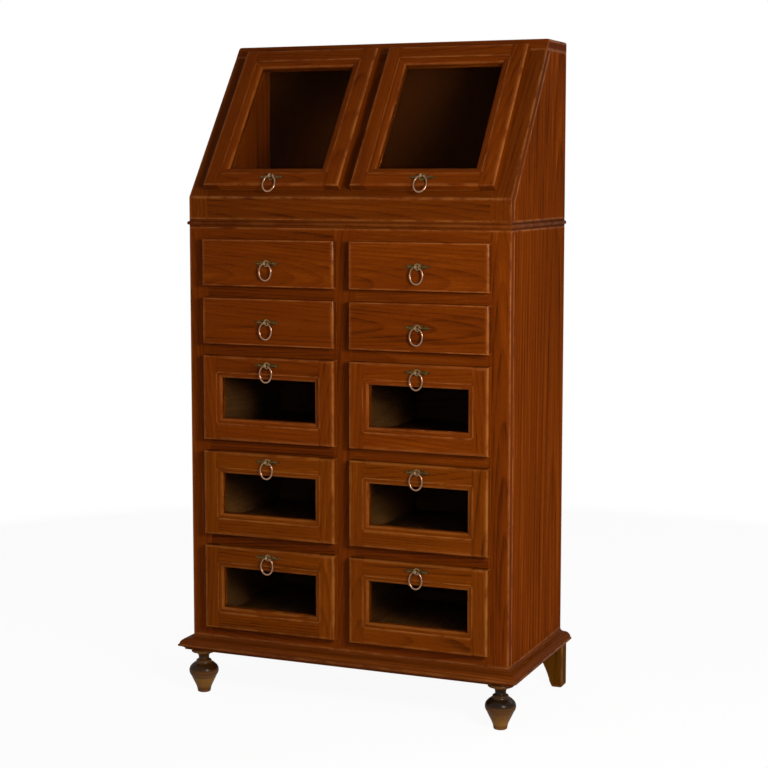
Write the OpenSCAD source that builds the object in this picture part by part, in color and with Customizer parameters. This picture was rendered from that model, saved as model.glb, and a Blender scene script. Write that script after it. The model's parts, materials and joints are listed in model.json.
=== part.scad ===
// Kitchen hutch with ten drawers below and two lift-up glazed doors above.
// Millimetres, +Z up, standing on z = 0, centred on x = 0 and on its depth.

/* [Case] */
// Width across the two sides
case_w = 800; // [740:10:860]
// Depth from the face of the frame to the back edges of the sides
case_d = 400; // [370:10:460]
// Thickness of the sides
side_t = 22; // [18:1:26]
// Thickness of the frame members
frame_t = 22; // [20:1:26]
// Thickness of the bottom board and of the partition
board_t = 18; // [15:1:20]
// Thickness of the two back panels
back_t = 8; // [6:1:10]
// Distance from the back edges of the sides in to the back panels
back_inset = 6; // [3:1:12]
// Depth of the grooves that hold the back panels
groove_d = 6; // [4:1:9]
// Gap left by the glue line between two members of one piece
glue_gap = 0.1; // [0.05:0.05:0.2]

/* [Base] */
// Height of the feet
foot_h = 106; // [96:2:130]
// Height of the base moulding
base_h = 36; // [34:1:44]
// How far the nose of the base moulding stands out from the case
base_nose = 29; // [26:1:33]
// How far the lower edge of the base moulding stands out from the case
apron_out = 16; // [12:1:18]
// How far the base moulding reaches in under the case
base_reach = 40; // [36:1:50]
// Largest radius of a turned front foot
foot_r = 35.5; // [30:0.5:38]
// Radius of the neck of a front foot
foot_neck_r = 12.5; // [10:0.5:15]
// Radius of the lower end of a front foot
foot_end_r = 16; // [13:0.5:18]
// Distance from the side of the case in to the axis of a front foot
foot_in_x = 21; // [18:1:25]
// Distance from the face of the frame back to the axis of a front foot
foot_in_y = 10; // [7:1:16]
// Radius of the tenon on top of a front foot
tenon_r = 9; // [7:0.5:10]
// Length of the tenon on top of a front foot
tenon_l = 24; // [16:1:28]
// Gap round the tenon
tenon_gap = 0.15; // [0.1:0.05:0.3]
// Width of a rear leg at the floor
leg_w = 31; // [26:1:38]
// How much wider a rear leg is at its top
leg_flare = 50; // [30:2:60]
// Thickness of a rear leg from front to back
leg_t = 34; // [28:1:40]

/* [Waist] */
// Thickness of the board between the two cases
waist_h = 18; // [16:1:22]
// How far the bead round the waist board stands out
bead_out = 4.5; // [3:0.5:6]

/* [Drawer fronts] */
// Height of a plain drawer front
small_front_h = 110; // [100:1:130]
// Height of a glazed drawer front
large_front_h = 200; // [180:1:230]
// Height of the frame that shows above and below each drawer front
rail_reveal = 27; // [24:1:32]
// Width of the frame that shows outside each drawer front
side_reveal = 44; // [40:1:50]
// Width of the frame that shows between the two columns of drawers
centre_reveal = 38; // [34:1:46]
// How far each drawer front laps over the edge of its opening
front_lap = 8; // [6:0.5:9]
// Thickness of the drawer fronts
front_t = 22; // [20:1:25]
// Gap behind a closed drawer front or door
close_gap = 0.3; // [0.2:0.1:0.6]
// Radius of the softened front edges
edge_r = 4.5; // [1.5:0.5:6]

/* [Drawer boxes] */
// Space left between a drawer box and the back panel
box_back_gap = 31; // [20:1:60]
// Thickness of the sides and the back of a drawer box
box_t = 12; // [10:1:14]
// Thickness of the bottom of a drawer box
bottom_t = 6; // [5:0.5:8]
// Height of the drawer bottom above the lower edge of the box
bottom_up = 8; // [6:0.5:11]
// Depth of the grooves that hold a drawer bottom
bottom_groove = 5; // [4:0.5:7]
// Gap at each side of a drawer box
side_gap = 1; // [0.6:0.1:1.5]
// Gap between a drawer box and its runners
run_gap = 0.3; // [0.2:0.1:0.6]
// Gap above a drawer box
head_gap = 6; // [4:0.5:10]
// Thickness of the drawer runners
runner_t = 16; // [13:0.5:17]
// How far a runner reaches in under a drawer box
runner_lap = 14; // [11:1:18]
// Height of the guides beside the drawer boxes
guide_h = 24; // [16:1:30]

/* [Windows] */
// Width of the stiles of a glazed drawer front, measured to the glass
stile_w = 48; // [44:1:54]
// Width of the rails of a glazed drawer front, measured to the glass
rail_w = 51.5; // [48:0.5:56]
// Width of the moulded edge round a drawer window
mould_w = 11; // [8:0.5:13]
// Depth of the moulded edge round a drawer window
mould_d = 6; // [5:0.5:7]
// Thickness of the glass
glass_t = 4; // [3:0.5:5]
// Thickness of the lip in front of the glass
lip_t = 3.5; // [3:0.5:4]
// Width of the rebate behind the lip
rebate_w = 8; // [6:0.5:9]
// Gap round the edges of the glass
glass_gap = 0.5; // [0.3:0.1:1]

/* [Upper case] */
// Height of the upper case from the waist board to the top
upper_h = 416; // [400:2:440]
// Height of its upright front below the slope
upper_front_h = 52; // [44:1:64]
// Depth of its flat top
top_d = 134; // [124:2:150]
// Thickness of the top board
top_t = 24; // [20:1:28]
// Radius of the softened edges of the top board
top_edge_r = 5; // [3:0.5:7]
// Height of the frame that closes the slope under the top board
top_rail_h = 27; // [25:1:34]

/* [Doors] */
// Width of the frame that shows outside each door
door_side_reveal = 39.5; // [36:0.5:46]
// Width of the frame that shows between the doors
door_centre_reveal = 29; // [24:1:34]
// Height of the frame that shows below each door, along the slope
door_foot_reveal = 20; // [16:1:26]
// How far each door laps over the edge of its opening
door_lap = 9; // [7:0.5:11]
// Thickness of the doors
door_t = 22; // [20:1:25]
// Width of the stiles of a door, measured to the glass
door_stile_w = 53; // [50:1:60]
// Width of the rails of a door, measured to the glass
door_rail_w = 50.5; // [48:0.5:58]
// Width of the moulded edge round a door window
door_mould_w = 16; // [12:0.5:18]
// Depth of the moulded edge round a door window
door_mould_d = 8; // [6:0.5:9]
// Angle through which a door opens
door_open = 85; // [70:1:88]

/* [Hinges and stays] */
// Radius of a hinge knuckle
knuckle_r = 3; // [2.5:0.25:3.5]
// Radius of a hinge pin
pin_r = 1.5; // [1.25:0.25:1.75]
// Running gap round a hinge pin
pin_gap = 0.08; // [0.05:0.01:0.1]
// Length of a hinge
hinge_l = 50; // [40:1:60]
// Width of a hinge leaf from the pin
leaf_w = 22; // [18:1:24]
// Thickness of a hinge leaf
leaf_t = 1.5; // [1:0.25:2]
// Distance of each hinge from the middle of its door
hinge_x = 110; // [90:1:120]
// Radius of the quadrant stay about the hinge pin
stay_r = 100; // [90:1:110]
// Width of the stay strip
stay_w = 10; // [8:0.5:12]
// Thickness of the stay strip
stay_t = 3; // [2:0.25:4]
// Distance of the stay from the frame member that carries its guide
stay_in = 10; // [9:0.5:12]
// Radius of the stop pin at the end of the stay
stop_r = 3.5; // [3:0.25:4]
// Gap between the stay and its guide
stay_gap = 0.5; // [0.3:0.1:0.8]

/* [Pulls] */
// Width across the wings of a pull plate
plate_w = 64; // [56:1:72]
// Height of a pull plate
plate_h = 18; // [15:0.5:20]
// Thickness of a pull plate
plate_t = 2; // [1.5:0.25:2.5]
// Distance of the eye from the face that carries the pull
eye_out = 7; // [6.5:0.25:9]
// Outer radius of the eye
eye_r = 5; // [4.5:0.25:5.5]
// Width of the eye
eye_w = 6; // [5:0.5:7]
// Width of a drop ring
ring_w = 35; // [32:0.5:40]
// Height of a drop ring
ring_h = 43.5; // [41:0.5:50]
// Radius of the wire of a drop ring
wire_r = 2.25; // [2:0.125:2.5]
// Gap round the wire in its eye
eye_gap = 0.3; // [0.2:0.05:0.4]
// Distance of the eye below the top edge of a glazed drawer front
eye_drop = 18; // [16:0.5:22]
// Distance of the eye above the lower edge of a door
eye_rise = 21; // [19:0.5:32]
// Radius of the threaded shank behind a pull plate
shank_r = 2; // [1.5:0.25:2.5]
// Radius of the round nut on the shank
nut_r = 5; // [4:0.25:6]
// Thickness of the nut
nut_t = 4; // [3:0.5:5]

/* [Hidden] */
walnut = [0.42, 0.20, 0.09];
dark_walnut = [0.33, 0.14, 0.06];
box_wood = [0.72, 0.55, 0.36];
pane = [0.75, 0.85, 0.85, 0.35];
bronze = [0.45, 0.36, 0.22];
brass = [0.70, 0.56, 0.30];

plain_rows = 2;
rows = 5;

chest_z = foot_h + base_h;
chest_h = plain_rows * small_front_h + (rows - plain_rows) * large_front_h + (rows + 1) * rail_reveal;
waist_z = chest_z + chest_h;
upper_z = waist_z + waist_h;
slope_z = upper_z + upper_front_h;
top_z = upper_z + upper_h;
under_top_z = top_z - top_t;

side_in = case_w / 2 - side_t;
back_y = case_d - back_inset - back_t;
front_reach = max(base_nose, close_gap + front_t + eye_out + eye_r);
face_y = -(case_d - front_reach) / 2;

front_w = (case_w - 2 * side_reveal - centre_reveal) / 2;
bay_x = (centre_reveal + front_w) / 2;
opening_w = front_w - 2 * front_lap;
box_w = opening_w - 2 * side_gap;
box_l = back_y - box_back_gap;

slope_angle = atan2(top_z - slope_z, case_d - top_d);
slope_sin = sin(slope_angle);
slope_cos = cos(slope_angle);
slope_l = (top_z - slope_z) / slope_sin;
bend_drop = frame_t * tan((90 - slope_angle) / 2);
frame_run = frame_t / slope_sin;

door_w = (case_w - 2 * door_side_reveal - door_centre_reveal) / 2;
door_x = (door_centre_reveal + door_w) / 2;
door_top = slope_l - top_t / slope_sin;
door_h = door_top - door_foot_reveal;
hinge_gap = 0.3;
pivot_a = door_top + knuckle_r + hinge_gap;
pivot_y = -close_gap / 2;
opening_foot = door_foot_reveal + door_lap;
opening_head = door_top - top_rail_h;

guide_y = [8, 20];
guide_side = 17;
guide_angle = asin((guide_y[1] + guide_y[0]) / 2 / stay_r);
stop_angle = door_open + asin((guide_y[1] + stop_r) / stay_r) + 1;

ring_a = ring_w / 2 - wire_r;
ring_b = ring_h / 2 - wire_r;
eye_sag = pow(eye_w / 2, 2) / (2 * ring_a);
eye_bore_r = wire_r + eye_sag + eye_gap;
ring_clear = edge_r + wire_r + close_gap;
lean_from = [eye_out + edge_r, eye_rise - edge_r];
door_ring_lean = acos(ring_clear / norm(lean_from)) - atan2(lean_from[1], lean_from[0]);

// Height of the front in a row, counted from 0 at the top
function front_h(row) = row < plain_rows ? small_front_h : large_front_h;

// Top edge of the front in a row
function row_top(row) = row == 0 ? waist_z - rail_reveal : row_top(row - 1) - front_h(row - 1) - rail_reveal;

// Lower edge of the front in a row
function row_foot(row) = row_top(row) - front_h(row);

// Height of the opening behind the front in a row
function opening_h(row) = front_h(row) - 2 * front_lap;

// A stretch between two distances from the middle, on one side of it
function span(side, near, far) = side > 0 ? [near, far] : [-far, -near];

// A point on the face of the slope, measured along it from its foot
function on_face(along) = [along * slope_cos, slope_z + along * slope_sin];

// A point one frame thickness behind the face of the slope
function behind_face(along) = on_face(along) + frame_t * [slope_sin, -slope_cos];

// Points of an arc in a plane, from one angle to another
function arc(centre, radius, from, to, steps) = [
    for (i = [0 : steps]) let (a = from + (to - from) * i / steps) centre + radius * [cos(a), sin(a)]
];

// Places children in the frame of the whole hutch, y = 0 being the face of the frame
module placed() {
    translate([0, face_y, 0]) children();
}

// Places children on the slope: y = 0 is its face and z runs up along it
module on_slope() {
    translate([0, 0, slope_z]) rotate([slope_angle - 90, 0, 0]) children();
}

// A rectangular board between three pairs of limits
module board(x, y, z) {
    translate([x[0], y[0], z[0]]) cube([x[1] - x[0], y[1] - y[0], z[1] - z[0]]);
}

// Draws a profile of y and z out along x, centred on x = 0
module along_x(length) {
    translate([-length / 2, 0, 0]) rotate([90, 0, 90]) linear_extrude(height = length) children();
}

// Draws a profile of x and z out along y, starting at y = 0
module along_y(length) {
    translate([0, length, 0]) rotate([90, 0, 0]) linear_extrude(height = length) children();
}

// Section of the base moulding: x is the distance out from the case, y the height
module base_section() {
    cove_r = 8;
    nose_r = 3;
    nose_z = chest_z - 24;
    round_w = base_nose - nose_r - cove_r - 2;
    round_h = chest_z - cove_r - nose_z - nose_r;
    polygon(concat(
        [[-base_reach, foot_h], [-base_reach, chest_z]],
        arc([cove_r, chest_z], cove_r, 180, 270, 6),
        [for (i = [0 : 6]) let (a = 90 - 15 * i)
            [cove_r + 2 + round_w * cos(a), nose_z + nose_r + round_h * sin(a)]],
        arc([base_nose - nose_r, nose_z], nose_r, 60, -60, 4),
        [[apron_out + 3, nose_z - nose_r - 3], [apron_out, nose_z - nose_r - 6], [apron_out, foot_h]]
    ));
}

// Plan of the front strip of a moulding, cut at 45 degrees at both ends
module mitre_plan(out, reach) {
    w = case_w / 2;
    polygon([[-w - out, -out], [w + out, -out], [w - reach, reach], [reach - w, reach]]);
}

// A moulding round the front and both sides, mitred at the front corners.
// Its children are its section, and its three members stay apart by the glue gap.
module moulding(out, reach) {
    w = case_w / 2;
    cut = glue_gap * 0.7072;
    intersection() {
        along_x(case_w + 2 * out) mirror([1, 0]) children();
        translate([0, -cut, foot_h]) linear_extrude(height = base_h) mitre_plan(out, reach);
    }
    for (s = [-1, 1]) difference() {
        translate([s * w, -out, 0]) mirror([s < 0 ? 1 : 0, 0, 0]) along_y(case_d + out) children();
        translate([0, cut, foot_h - 1]) linear_extrude(height = base_h + 2) mitre_plan(out + 1, reach + 1);
    }
}

module base_moulding() {
    rail_x = case_w / 2 - base_reach - glue_gap;
    color(dark_walnut) placed() difference() {
        union() {
            moulding(base_nose, base_reach) base_section();
            board([-rail_x, rail_x], [case_d - frame_t, case_d], [foot_h, chest_z]);
        }
        for (s = [-1, 1]) translate([s * (case_w / 2 - foot_in_x), foot_in_y, foot_h - 1])
            cylinder(r = tenon_r + tenon_gap, h = tenon_l + 1 + tenon_gap, $fn = 32);
    }
}

// A turned foot with a tapered end, a bulb, a bead, a neck, a flared collar and a tenon
module turned_foot() {
    end_edge = 2.5;
    taper_h = 18;
    taper_out = 3.3;
    bulb_r = 17.5;
    bead_r = 2.6;
    flare_r = 14;
    flare_start = 190;
    collar_h = 7;
    collar_edge = 1.5;
    collar_r = foot_neck_r + flare_r + 2 * collar_edge;
    collar_z = foot_h - collar_h;
    bulb_z = foot_h / 2;
    bead_z = bulb_z + bulb_r + 3;
    rotate_extrude($fn = 48) polygon(concat(
        [[0, 0], [foot_end_r - end_edge, 0], [foot_end_r - end_edge / 5, end_edge],
         [foot_end_r + taper_out / 4, taper_h / 2], [foot_end_r + taper_out, taper_h]],
        arc([foot_r - bulb_r, bulb_z], bulb_r, -30, 60, 9),
        arc([foot_neck_r + bead_r + 1, bead_z], bead_r, -60, 110, 6),
        arc([foot_neck_r + flare_r, collar_z - flare_r], flare_r, flare_start, 90, 8),
        [[collar_r - collar_edge, collar_z], [collar_r, collar_z + collar_edge], [collar_r, foot_h],
         [tenon_r, foot_h], [tenon_r, foot_h + tenon_l], [0, foot_h + tenon_l]]
    ));
}

module front_feet() {
    color(dark_walnut) placed() for (s = [-1, 1])
        translate([s * (case_w / 2 - foot_in_x), foot_in_y, 0]) turned_foot();
}

// Outline of a rear leg: straight outside, curving in towards the floor inside
module leg_outline() {
    chamfer = 4;
    steps = 10;
    polygon(concat(
        [[-chamfer, 0], [0, chamfer], [0, foot_h]],
        [for (i = [steps : -1 : 1]) [-leg_w - leg_flare * pow(i / steps, 1.5), foot_h * i / steps]],
        [[chamfer - leg_w, 0]]
    ));
}

module rear_legs() {
    color(dark_walnut) placed() for (s = [-1, 1])
        translate([s * (case_w / 2 + apron_out), case_d - leg_t, 0]) mirror([s < 0 ? 1 : 0, 0, 0])
            along_y(leg_t) leg_outline();
}

module lower_sides() {
    color(walnut) placed() for (s = [-1, 1]) difference() {
        board(span(s, side_in, case_w / 2), [frame_t, case_d], [chest_z, waist_z]);
        board(span(s, side_in - 1, side_in + groove_d), [back_y, back_y + back_t], [chest_z - 1, waist_z + 1]);
    }
}

module lower_face_frame() {
    near = centre_reveal / 2 + front_lap;
    far = case_w / 2 - side_reveal - front_lap;
    color(walnut) placed() {
        board([-near, near], [0, frame_t], [chest_z, waist_z]);
        for (s = [-1, 1]) {
            board(span(s, far, case_w / 2), [0, frame_t], [chest_z, waist_z]);
            for (i = [0 : rows]) board(
                span(s, near + glue_gap, far - glue_gap), [0, frame_t],
                [i == rows ? chest_z : row_top(i) - front_lap, i == 0 ? waist_z : row_foot(i - 1) + front_lap]
            );
        }
    }
}

module centre_partition() {
    color(walnut) placed() board([-board_t / 2, board_t / 2], [frame_t, back_y], [chest_z + board_t, waist_z]);
}

module case_bottom() {
    color(walnut) placed() board([-side_in, side_in], [frame_t, back_y], [chest_z, chest_z + board_t]);
}

// For each drawer two runners, each with a guide glued on top beside the box
module drawer_runners() {
    inner = centre_reveal / 2 + front_lap;
    outer = case_w / 2 - side_reveal - front_lap;
    color(box_wood) placed() for (s = [-1, 1]) for (row = [0 : rows - 1]) {
        z = row_foot(row) + front_lap;
        for (x = [[board_t / 2, inner, runner_lap], [side_in, outer, -runner_lap]]) {
            ends = [min(x[0], x[1] + x[2]), max(x[0], x[1] + x[2])];
            sides = [min(x[0], x[1]), max(x[0], x[1])];
            board(span(s, ends[0], ends[1]), [frame_t, back_y], [z - runner_t, z]);
            board(span(s, sides[0], sides[1]), [frame_t, back_y], [z + glue_gap, z + guide_h]);
        }
    }
}

module back_panels() {
    x = side_in + groove_d;
    color(dark_walnut) placed() {
        board([-x, x], [back_y, back_y + back_t], [chest_z, waist_z]);
        board([-x, x], [back_y, back_y + back_t], [upper_z, under_top_z]);
    }
}

// Section of the waist board between two edges, each with a rounded bead if it asks for one
module waist_section(near, far, bead_near, bead_far) {
    z = waist_h / 2;
    polygon(concat(
        bead_near ? arc([near, z], bead_out, 270, 90, 8) : [],
        [[near, waist_h], [far, waist_h]],
        bead_far ? arc([far, z], bead_out, 90, -90, 8) : [],
        [[far, 0], [near, 0]]
    ));
}

// The board between the cases, with a rounded bead along its front and side edges
module waist_board() {
    w = case_w / 2;
    color(dark_walnut) placed() translate([0, 0, waist_z]) intersection() {
        along_x(case_w + 2 * bead_out) waist_section(0, case_d, true, false);
        translate([0, -bead_out, 0]) along_y(case_d + bead_out) waist_section(-w, w, true, true);
    }
}

module upper_sides() {
    color(walnut) placed() for (s = [-1, 1]) difference() {
        translate([s * (side_in + side_t / 2), 0, 0]) along_x(side_t) polygon([
            [frame_t, upper_z], [frame_t, slope_z - bend_drop],
            [on_face(door_top)[0] + frame_run, under_top_z], [case_d, under_top_z], [case_d, upper_z]
        ]);
        board(span(s, side_in - 1, side_in + groove_d), [back_y, back_y + back_t], [upper_z - 1, top_z]);
    }
}

module upper_face_frame() {
    stile_in = case_w / 2 - door_side_reveal - door_lap;
    half = door_centre_reveal / 2 + door_lap;
    rail_in = stile_in - glue_gap;
    color(walnut) placed() {
        for (s = [-1, 1]) translate([s * (case_w / 2 + stile_in) / 2, 0, 0]) along_x(case_w / 2 - stile_in)
            polygon([
                [0, upper_z], [0, slope_z], on_face(door_top),
                [on_face(door_top)[0] + frame_run, under_top_z], [frame_t, slope_z - bend_drop], [frame_t, upper_z]
            ]);
        along_x(2 * rail_in) polygon([
            [0, upper_z], [0, slope_z], on_face(opening_foot), behind_face(opening_foot),
            [frame_t, slope_z - bend_drop], [frame_t, upper_z]
        ]);
        difference() {
            along_x(2 * rail_in) polygon([
                on_face(opening_head), on_face(door_top),
                [on_face(door_top)[0] + frame_run, under_top_z], behind_face(opening_head)
            ]);
            hinge_recess();
        }
        on_slope() board([-half, half], [0, frame_t], [opening_foot + glue_gap, opening_head - glue_gap]);
    }
}

// Section of the top board: sloped in front, softened at the upper back edge
module top_section() {
    r = top_edge_r;
    polygon(concat(
        [on_face(door_top), [case_d - top_d, top_z]],
        arc([case_d - r, top_z - r], r, 90, 0, 4),
        [[case_d, under_top_z]]
    ));
}

module top_board() {
    w = case_w / 2;
    r = top_edge_r;
    color(walnut) placed() difference() {
        intersection() {
            along_x(case_w) top_section();
            along_y(case_d) polygon(concat(
                [[-w, under_top_z]],
                arc([r - w, top_z - r], r, 180, 90, 4),
                arc([w - r, top_z - r], r, 90, 0, 4),
                [[w, under_top_z]]
            ));
        }
        hinge_recess();
    }
}

// Places children at the pin of every hinge, z running up the slope and y inwards
module at_hinges() {
    on_slope() for (s = [-1, 1]) for (t = [-1, 1])
        translate([s * door_x + t * hinge_x, pivot_y, pivot_a]) children();
}

// Places children at the pins of the two hinges of one door
module at_door_hinges(side) {
    on_slope() for (t = [-1, 1]) translate([side * door_x + t * hinge_x, pivot_y, pivot_a]) children();
}

// A cylinder along x, centred on the origin
module rod(r, length, sides = 24) {
    rotate([0, 90, 0]) cylinder(r = r, h = length, center = true, $fn = sides);
}

// What the hinges need cut out of the frame and the top board
module hinge_recess() {
    at_hinges() {
        rod(knuckle_r + hinge_gap + 0.1, hinge_l + 1);
        board([-hinge_l / 2 - hinge_gap, hinge_l / 2 + hinge_gap], [-2, leaf_t - pivot_y],
            [-leaf_w - hinge_gap, 0]);
    }
}

// A hinge leaf on one side of the pin, hanging down from it, with room for the other's knuckles
module leaf_plate(y, knuckle_from, knuckle_to) {
    clear = knuckle_r + hinge_gap;
    half = hinge_l / 2;
    board([-half, half], y, [-leaf_w, -clear]);
    for (x = [for (i = [0 : len(knuckle_from) - 1]) [knuckle_from[i], knuckle_to[i]]])
        board(x, y, [-clear - 1, 0]);
}

// The fixed half of a hinge: leaf, two outer knuckles and the pin
module case_leaf() {
    half = hinge_l / 2;
    third = hinge_l / 6;
    leaf_plate([-pivot_y, leaf_t - pivot_y], [-half, third], [-third, half]);
    for (s = [-1, 1]) translate([s * (half + third) / 2, 0, 0]) rod(knuckle_r, half - third);
    rod(pin_r, hinge_l);
}

// The moving half of a hinge: leaf and one middle knuckle, bored for the pin
module door_leaf() {
    third = hinge_l / 6 - hinge_gap;
    difference() {
        union() {
            leaf_plate([pivot_y - leaf_t, pivot_y], [-third], [third]);
            rod(knuckle_r, 2 * third);
        }
        rod(pin_r + pin_gap, hinge_l, 32);
    }
}

// Distance of a stay from the middle of the case
function stay_x(side) = side > 0
    ? case_w / 2 - door_side_reveal - door_lap - stay_in
    : -door_centre_reveal / 2 - door_lap - stay_in;

// The guide of a stay, screwed to the frame member beside it
module stay_guide(side) {
    z = stay_r * cos(guide_angle);
    on_slope() translate([stay_x(side), 0, pivot_a]) difference() {
        board([stay_in - guide_side, stay_in], guide_y, [-z - stay_w - 4, -z + stay_w + 4]);
        translate([0, pivot_y, 0]) rotate([0, 90, 0]) rotate_extrude($fn = 96)
            translate([stay_r - stay_w / 2 - stay_gap, -stay_t / 2 - stay_gap])
                square([stay_w + 2 * stay_gap, stay_t + 2 * stay_gap]);
    }
}

module case_hinge_leaves_and_stay_guides() {
    color(brass) placed() {
        at_hinges() case_leaf();
        for (s = [-1, 1]) stay_guide(s);
    }
}

// A quadrant strip about the hinge pin, with a foot on the door and a stop pin at its end
module stay() {
    foot = stay_w / 2 + 10;
    translate([0, pivot_y, 0]) rotate([0, 90, 0]) {
        rotate_extrude(angle = stop_angle + 4, $fn = 96)
            translate([stay_r - stay_w / 2, -stay_t / 2]) square([stay_w, stay_t]);
        rotate([0, 0, stop_angle]) translate([stay_r, 0, 0])
            cylinder(r = stop_r, h = guide_side - 5, center = true, $fn = 24);
    }
    board([-7, 7], [-close_gap, 2 - close_gap], [-stay_r - foot, foot - stay_r]);
}

module door_hinges_and_stay(side) {
    color(brass) placed() {
        at_door_hinges(side) door_leaf();
        on_slope() translate([stay_x(side), 0, pivot_a]) stay();
    }
}

// Section of a board of width w, softened at its two front corners
module soft_section(w, t) {
    translate([-w / 2, edge_r - t]) square([w, t - edge_r]);
    translate([edge_r - w / 2, -t]) square([w - 2 * edge_r, edge_r + 1]);
    for (s = [-1, 1]) translate([s * (w / 2 - edge_r), edge_r - t]) circle(r = edge_r, $fn = 24);
}

// A board with softened front edges, its back on y = 0 and its middle on the origin
module soft_board(w, h, t) {
    intersection() {
        linear_extrude(height = h, center = true) soft_section(w, t);
        along_x(w) rotate(-90) soft_section(h, t);
    }
}

// Section of a window opening: a quirk, an ovolo and then straight through
module opening_section(w, t, mw, md) {
    quirk = 1;
    steps = 5;
    half = [
        [w / 2 + mw, -t - 1], [w / 2 + mw, quirk - t],
        for (i = [1 : steps]) let (a = 90 * i / steps)
            [w / 2 + mw * (1 - sin(a)), md - t - (md - quirk) * cos(a)],
        [w / 2, 1]
    ];
    polygon(concat(half, [for (i = [len(half) - 1 : -1 : 0]) [-half[i][0], half[i][1]]]));
}

// The plan of one rail of a window frame, its ends fitted over the moulded stiles
module rail_plan(w, h, mw, far, grow) {
    polygon([
        [-w / 2 - grow, h / 2 - grow], [w / 2 + grow, h / 2 - grow],
        [w / 2 + mw + grow, h / 2 + mw - grow], [w / 2 + mw + grow, far],
        [-w / 2 - mw - grow, far], [-w / 2 - mw - grow, h / 2 + mw - grow]
    ]);
}

// A softened board with a moulded window cut in it and a rebate behind
module window_blank(w, h, t, gw, gh, mw, md) {
    difference() {
        soft_board(w, h, t);
        intersection() {
            linear_extrude(height = h, center = true) opening_section(gw, t, mw, md);
            along_x(w) rotate(-90) opening_section(gh, t, mw, md);
        }
        rebate(gw, gh, [md + lip_t - t, 1]);
    }
}

// The space of the upper and lower rails of a window frame
module rail_space(h, t, gw, gh, mw, grow) {
    for (s = [0, 1]) mirror([0, 0, s]) translate([0, -t - 1, 0]) along_y(t + 2)
        rail_plan(gw, gh, mw, h, grow);
}

// A frame of two stiles and two rails round a window, with four stops behind the glass
module window_frame(w, h, t, sw, rw, mw, md) {
    gw = w - 2 * sw;
    gh = h - 2 * rw;
    intersection() {
        window_blank(w, h, t, gw, gh, mw, md);
        rail_space(h, t, gw, gh, mw, 0);
    }
    difference() {
        window_blank(w, h, t, gw, gh, mw, md);
        rail_space(h, t, gw, gh, mw, glue_gap);
    }
    stops(gw, gh, [md + lip_t + glass_t + glue_gap - t, 0]);
}

// A rectangular block round a window, one rebate wider on each side
module rebate(gw, gh, y) {
    x = gw / 2 + rebate_w;
    z = gh / 2 + rebate_w;
    board([-x, x], y, [-z, z]);
}

// Four strips that hold the glass in its rebate
module stops(gw, gh, y) {
    x = gw / 2 + rebate_w - glue_gap;
    z = gh / 2 + rebate_w - glue_gap;
    for (s = [-1, 1]) {
        board(span(s, gw / 2, x), y, [-z, z]);
        board([glue_gap - gw / 2, gw / 2 - glue_gap], y, span(s, gh / 2, z));
    }
}

// The pane of a window frame of the same sizes
module window_glass(w, h, t, sw, rw, md) {
    x = w / 2 - sw + rebate_w - glass_gap;
    z = h / 2 - rw + rebate_w - glass_gap;
    board([-x, x], [md + lip_t - t, md + lip_t + glass_t - t], [-z, z]);
}

// The bore for the shank of a pull, through a front of thickness t
module shank_bore(t) {
    translate([0, 1, 0]) rotate([90, 0, 0]) cylinder(r = shank_r + glue_gap, h = t + 2, $fn = 24);
}

// Height of the eye of a drawer pull above the middle of the front
function eye_z(row) = row < plain_rows ? 0 : front_h(row) / 2 - eye_drop;

// Places children at the middle of the back of a drawer front
module at_front(side, row) {
    placed() translate([side * bay_x, -close_gap, row_foot(row) + front_h(row) / 2]) children();
}

// Two sides, a back and a bottom, reaching back from the front at y = 0
module drawer_box(row) {
    x = box_w / 2;
    in = x - box_t;
    foot = front_lap + run_gap - front_h(row) / 2;
    head = front_h(row) / 2 - front_lap - head_gap;
    floor_z = foot + bottom_up;
    l = box_l + close_gap;
    for (s = [-1, 1]) difference() {
        board(span(s, in, x), [glue_gap, l], [foot, head]);
        board(span(s, in - 1, in + bottom_groove + glue_gap), [0, l - box_t + glue_gap],
            [floor_z - glue_gap, floor_z + bottom_t + glue_gap]);
    }
    board([-in - bottom_groove, in + bottom_groove], [glue_gap, l - box_t], [floor_z, floor_z + bottom_t]);
    board([glue_gap - in, in - glue_gap], [l - box_t + glue_gap, l], [foot, head]);
}

module drawer(side, row) {
    h = front_h(row);
    color(walnut) at_front(side, row) difference() {
        if (row < plain_rows) soft_board(front_w, h, front_t);
        else window_frame(front_w, h, front_t, stile_w, rail_w, mould_w, mould_d);
        translate([0, 0, eye_z(row)]) shank_bore(front_t);
    }
    color(box_wood) at_front(side, row) drawer_box(row);
}

module drawer_glass(side, row) {
    color(pane) at_front(side, row)
        window_glass(front_w, front_h(row), front_t, stile_w, rail_w, mould_d);
}

// Places children at the middle of the back of a door, on the slope
module at_door(side) {
    placed() on_slope() translate([side * door_x, -close_gap, door_foot_reveal + door_h / 2]) children();
}

module door(side) {
    color(walnut) difference() {
        at_door(side) difference() {
            window_frame(door_w, door_h, door_t, door_stile_w, door_rail_w, door_mould_w, door_mould_d);
            translate([0, 0, eye_rise - door_h / 2]) shank_bore(door_t);
        }
        placed() at_door_hinges(side)
            board([-hinge_l / 2 - hinge_gap, hinge_l / 2 + hinge_gap], [pivot_y - leaf_t, 1],
                [-leaf_w - hinge_gap, 0]);
    }
}

module door_glass(side) {
    color(pane) at_door(side)
        window_glass(door_w, door_h, door_t, door_stile_w, door_rail_w, door_mould_d);
}

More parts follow.
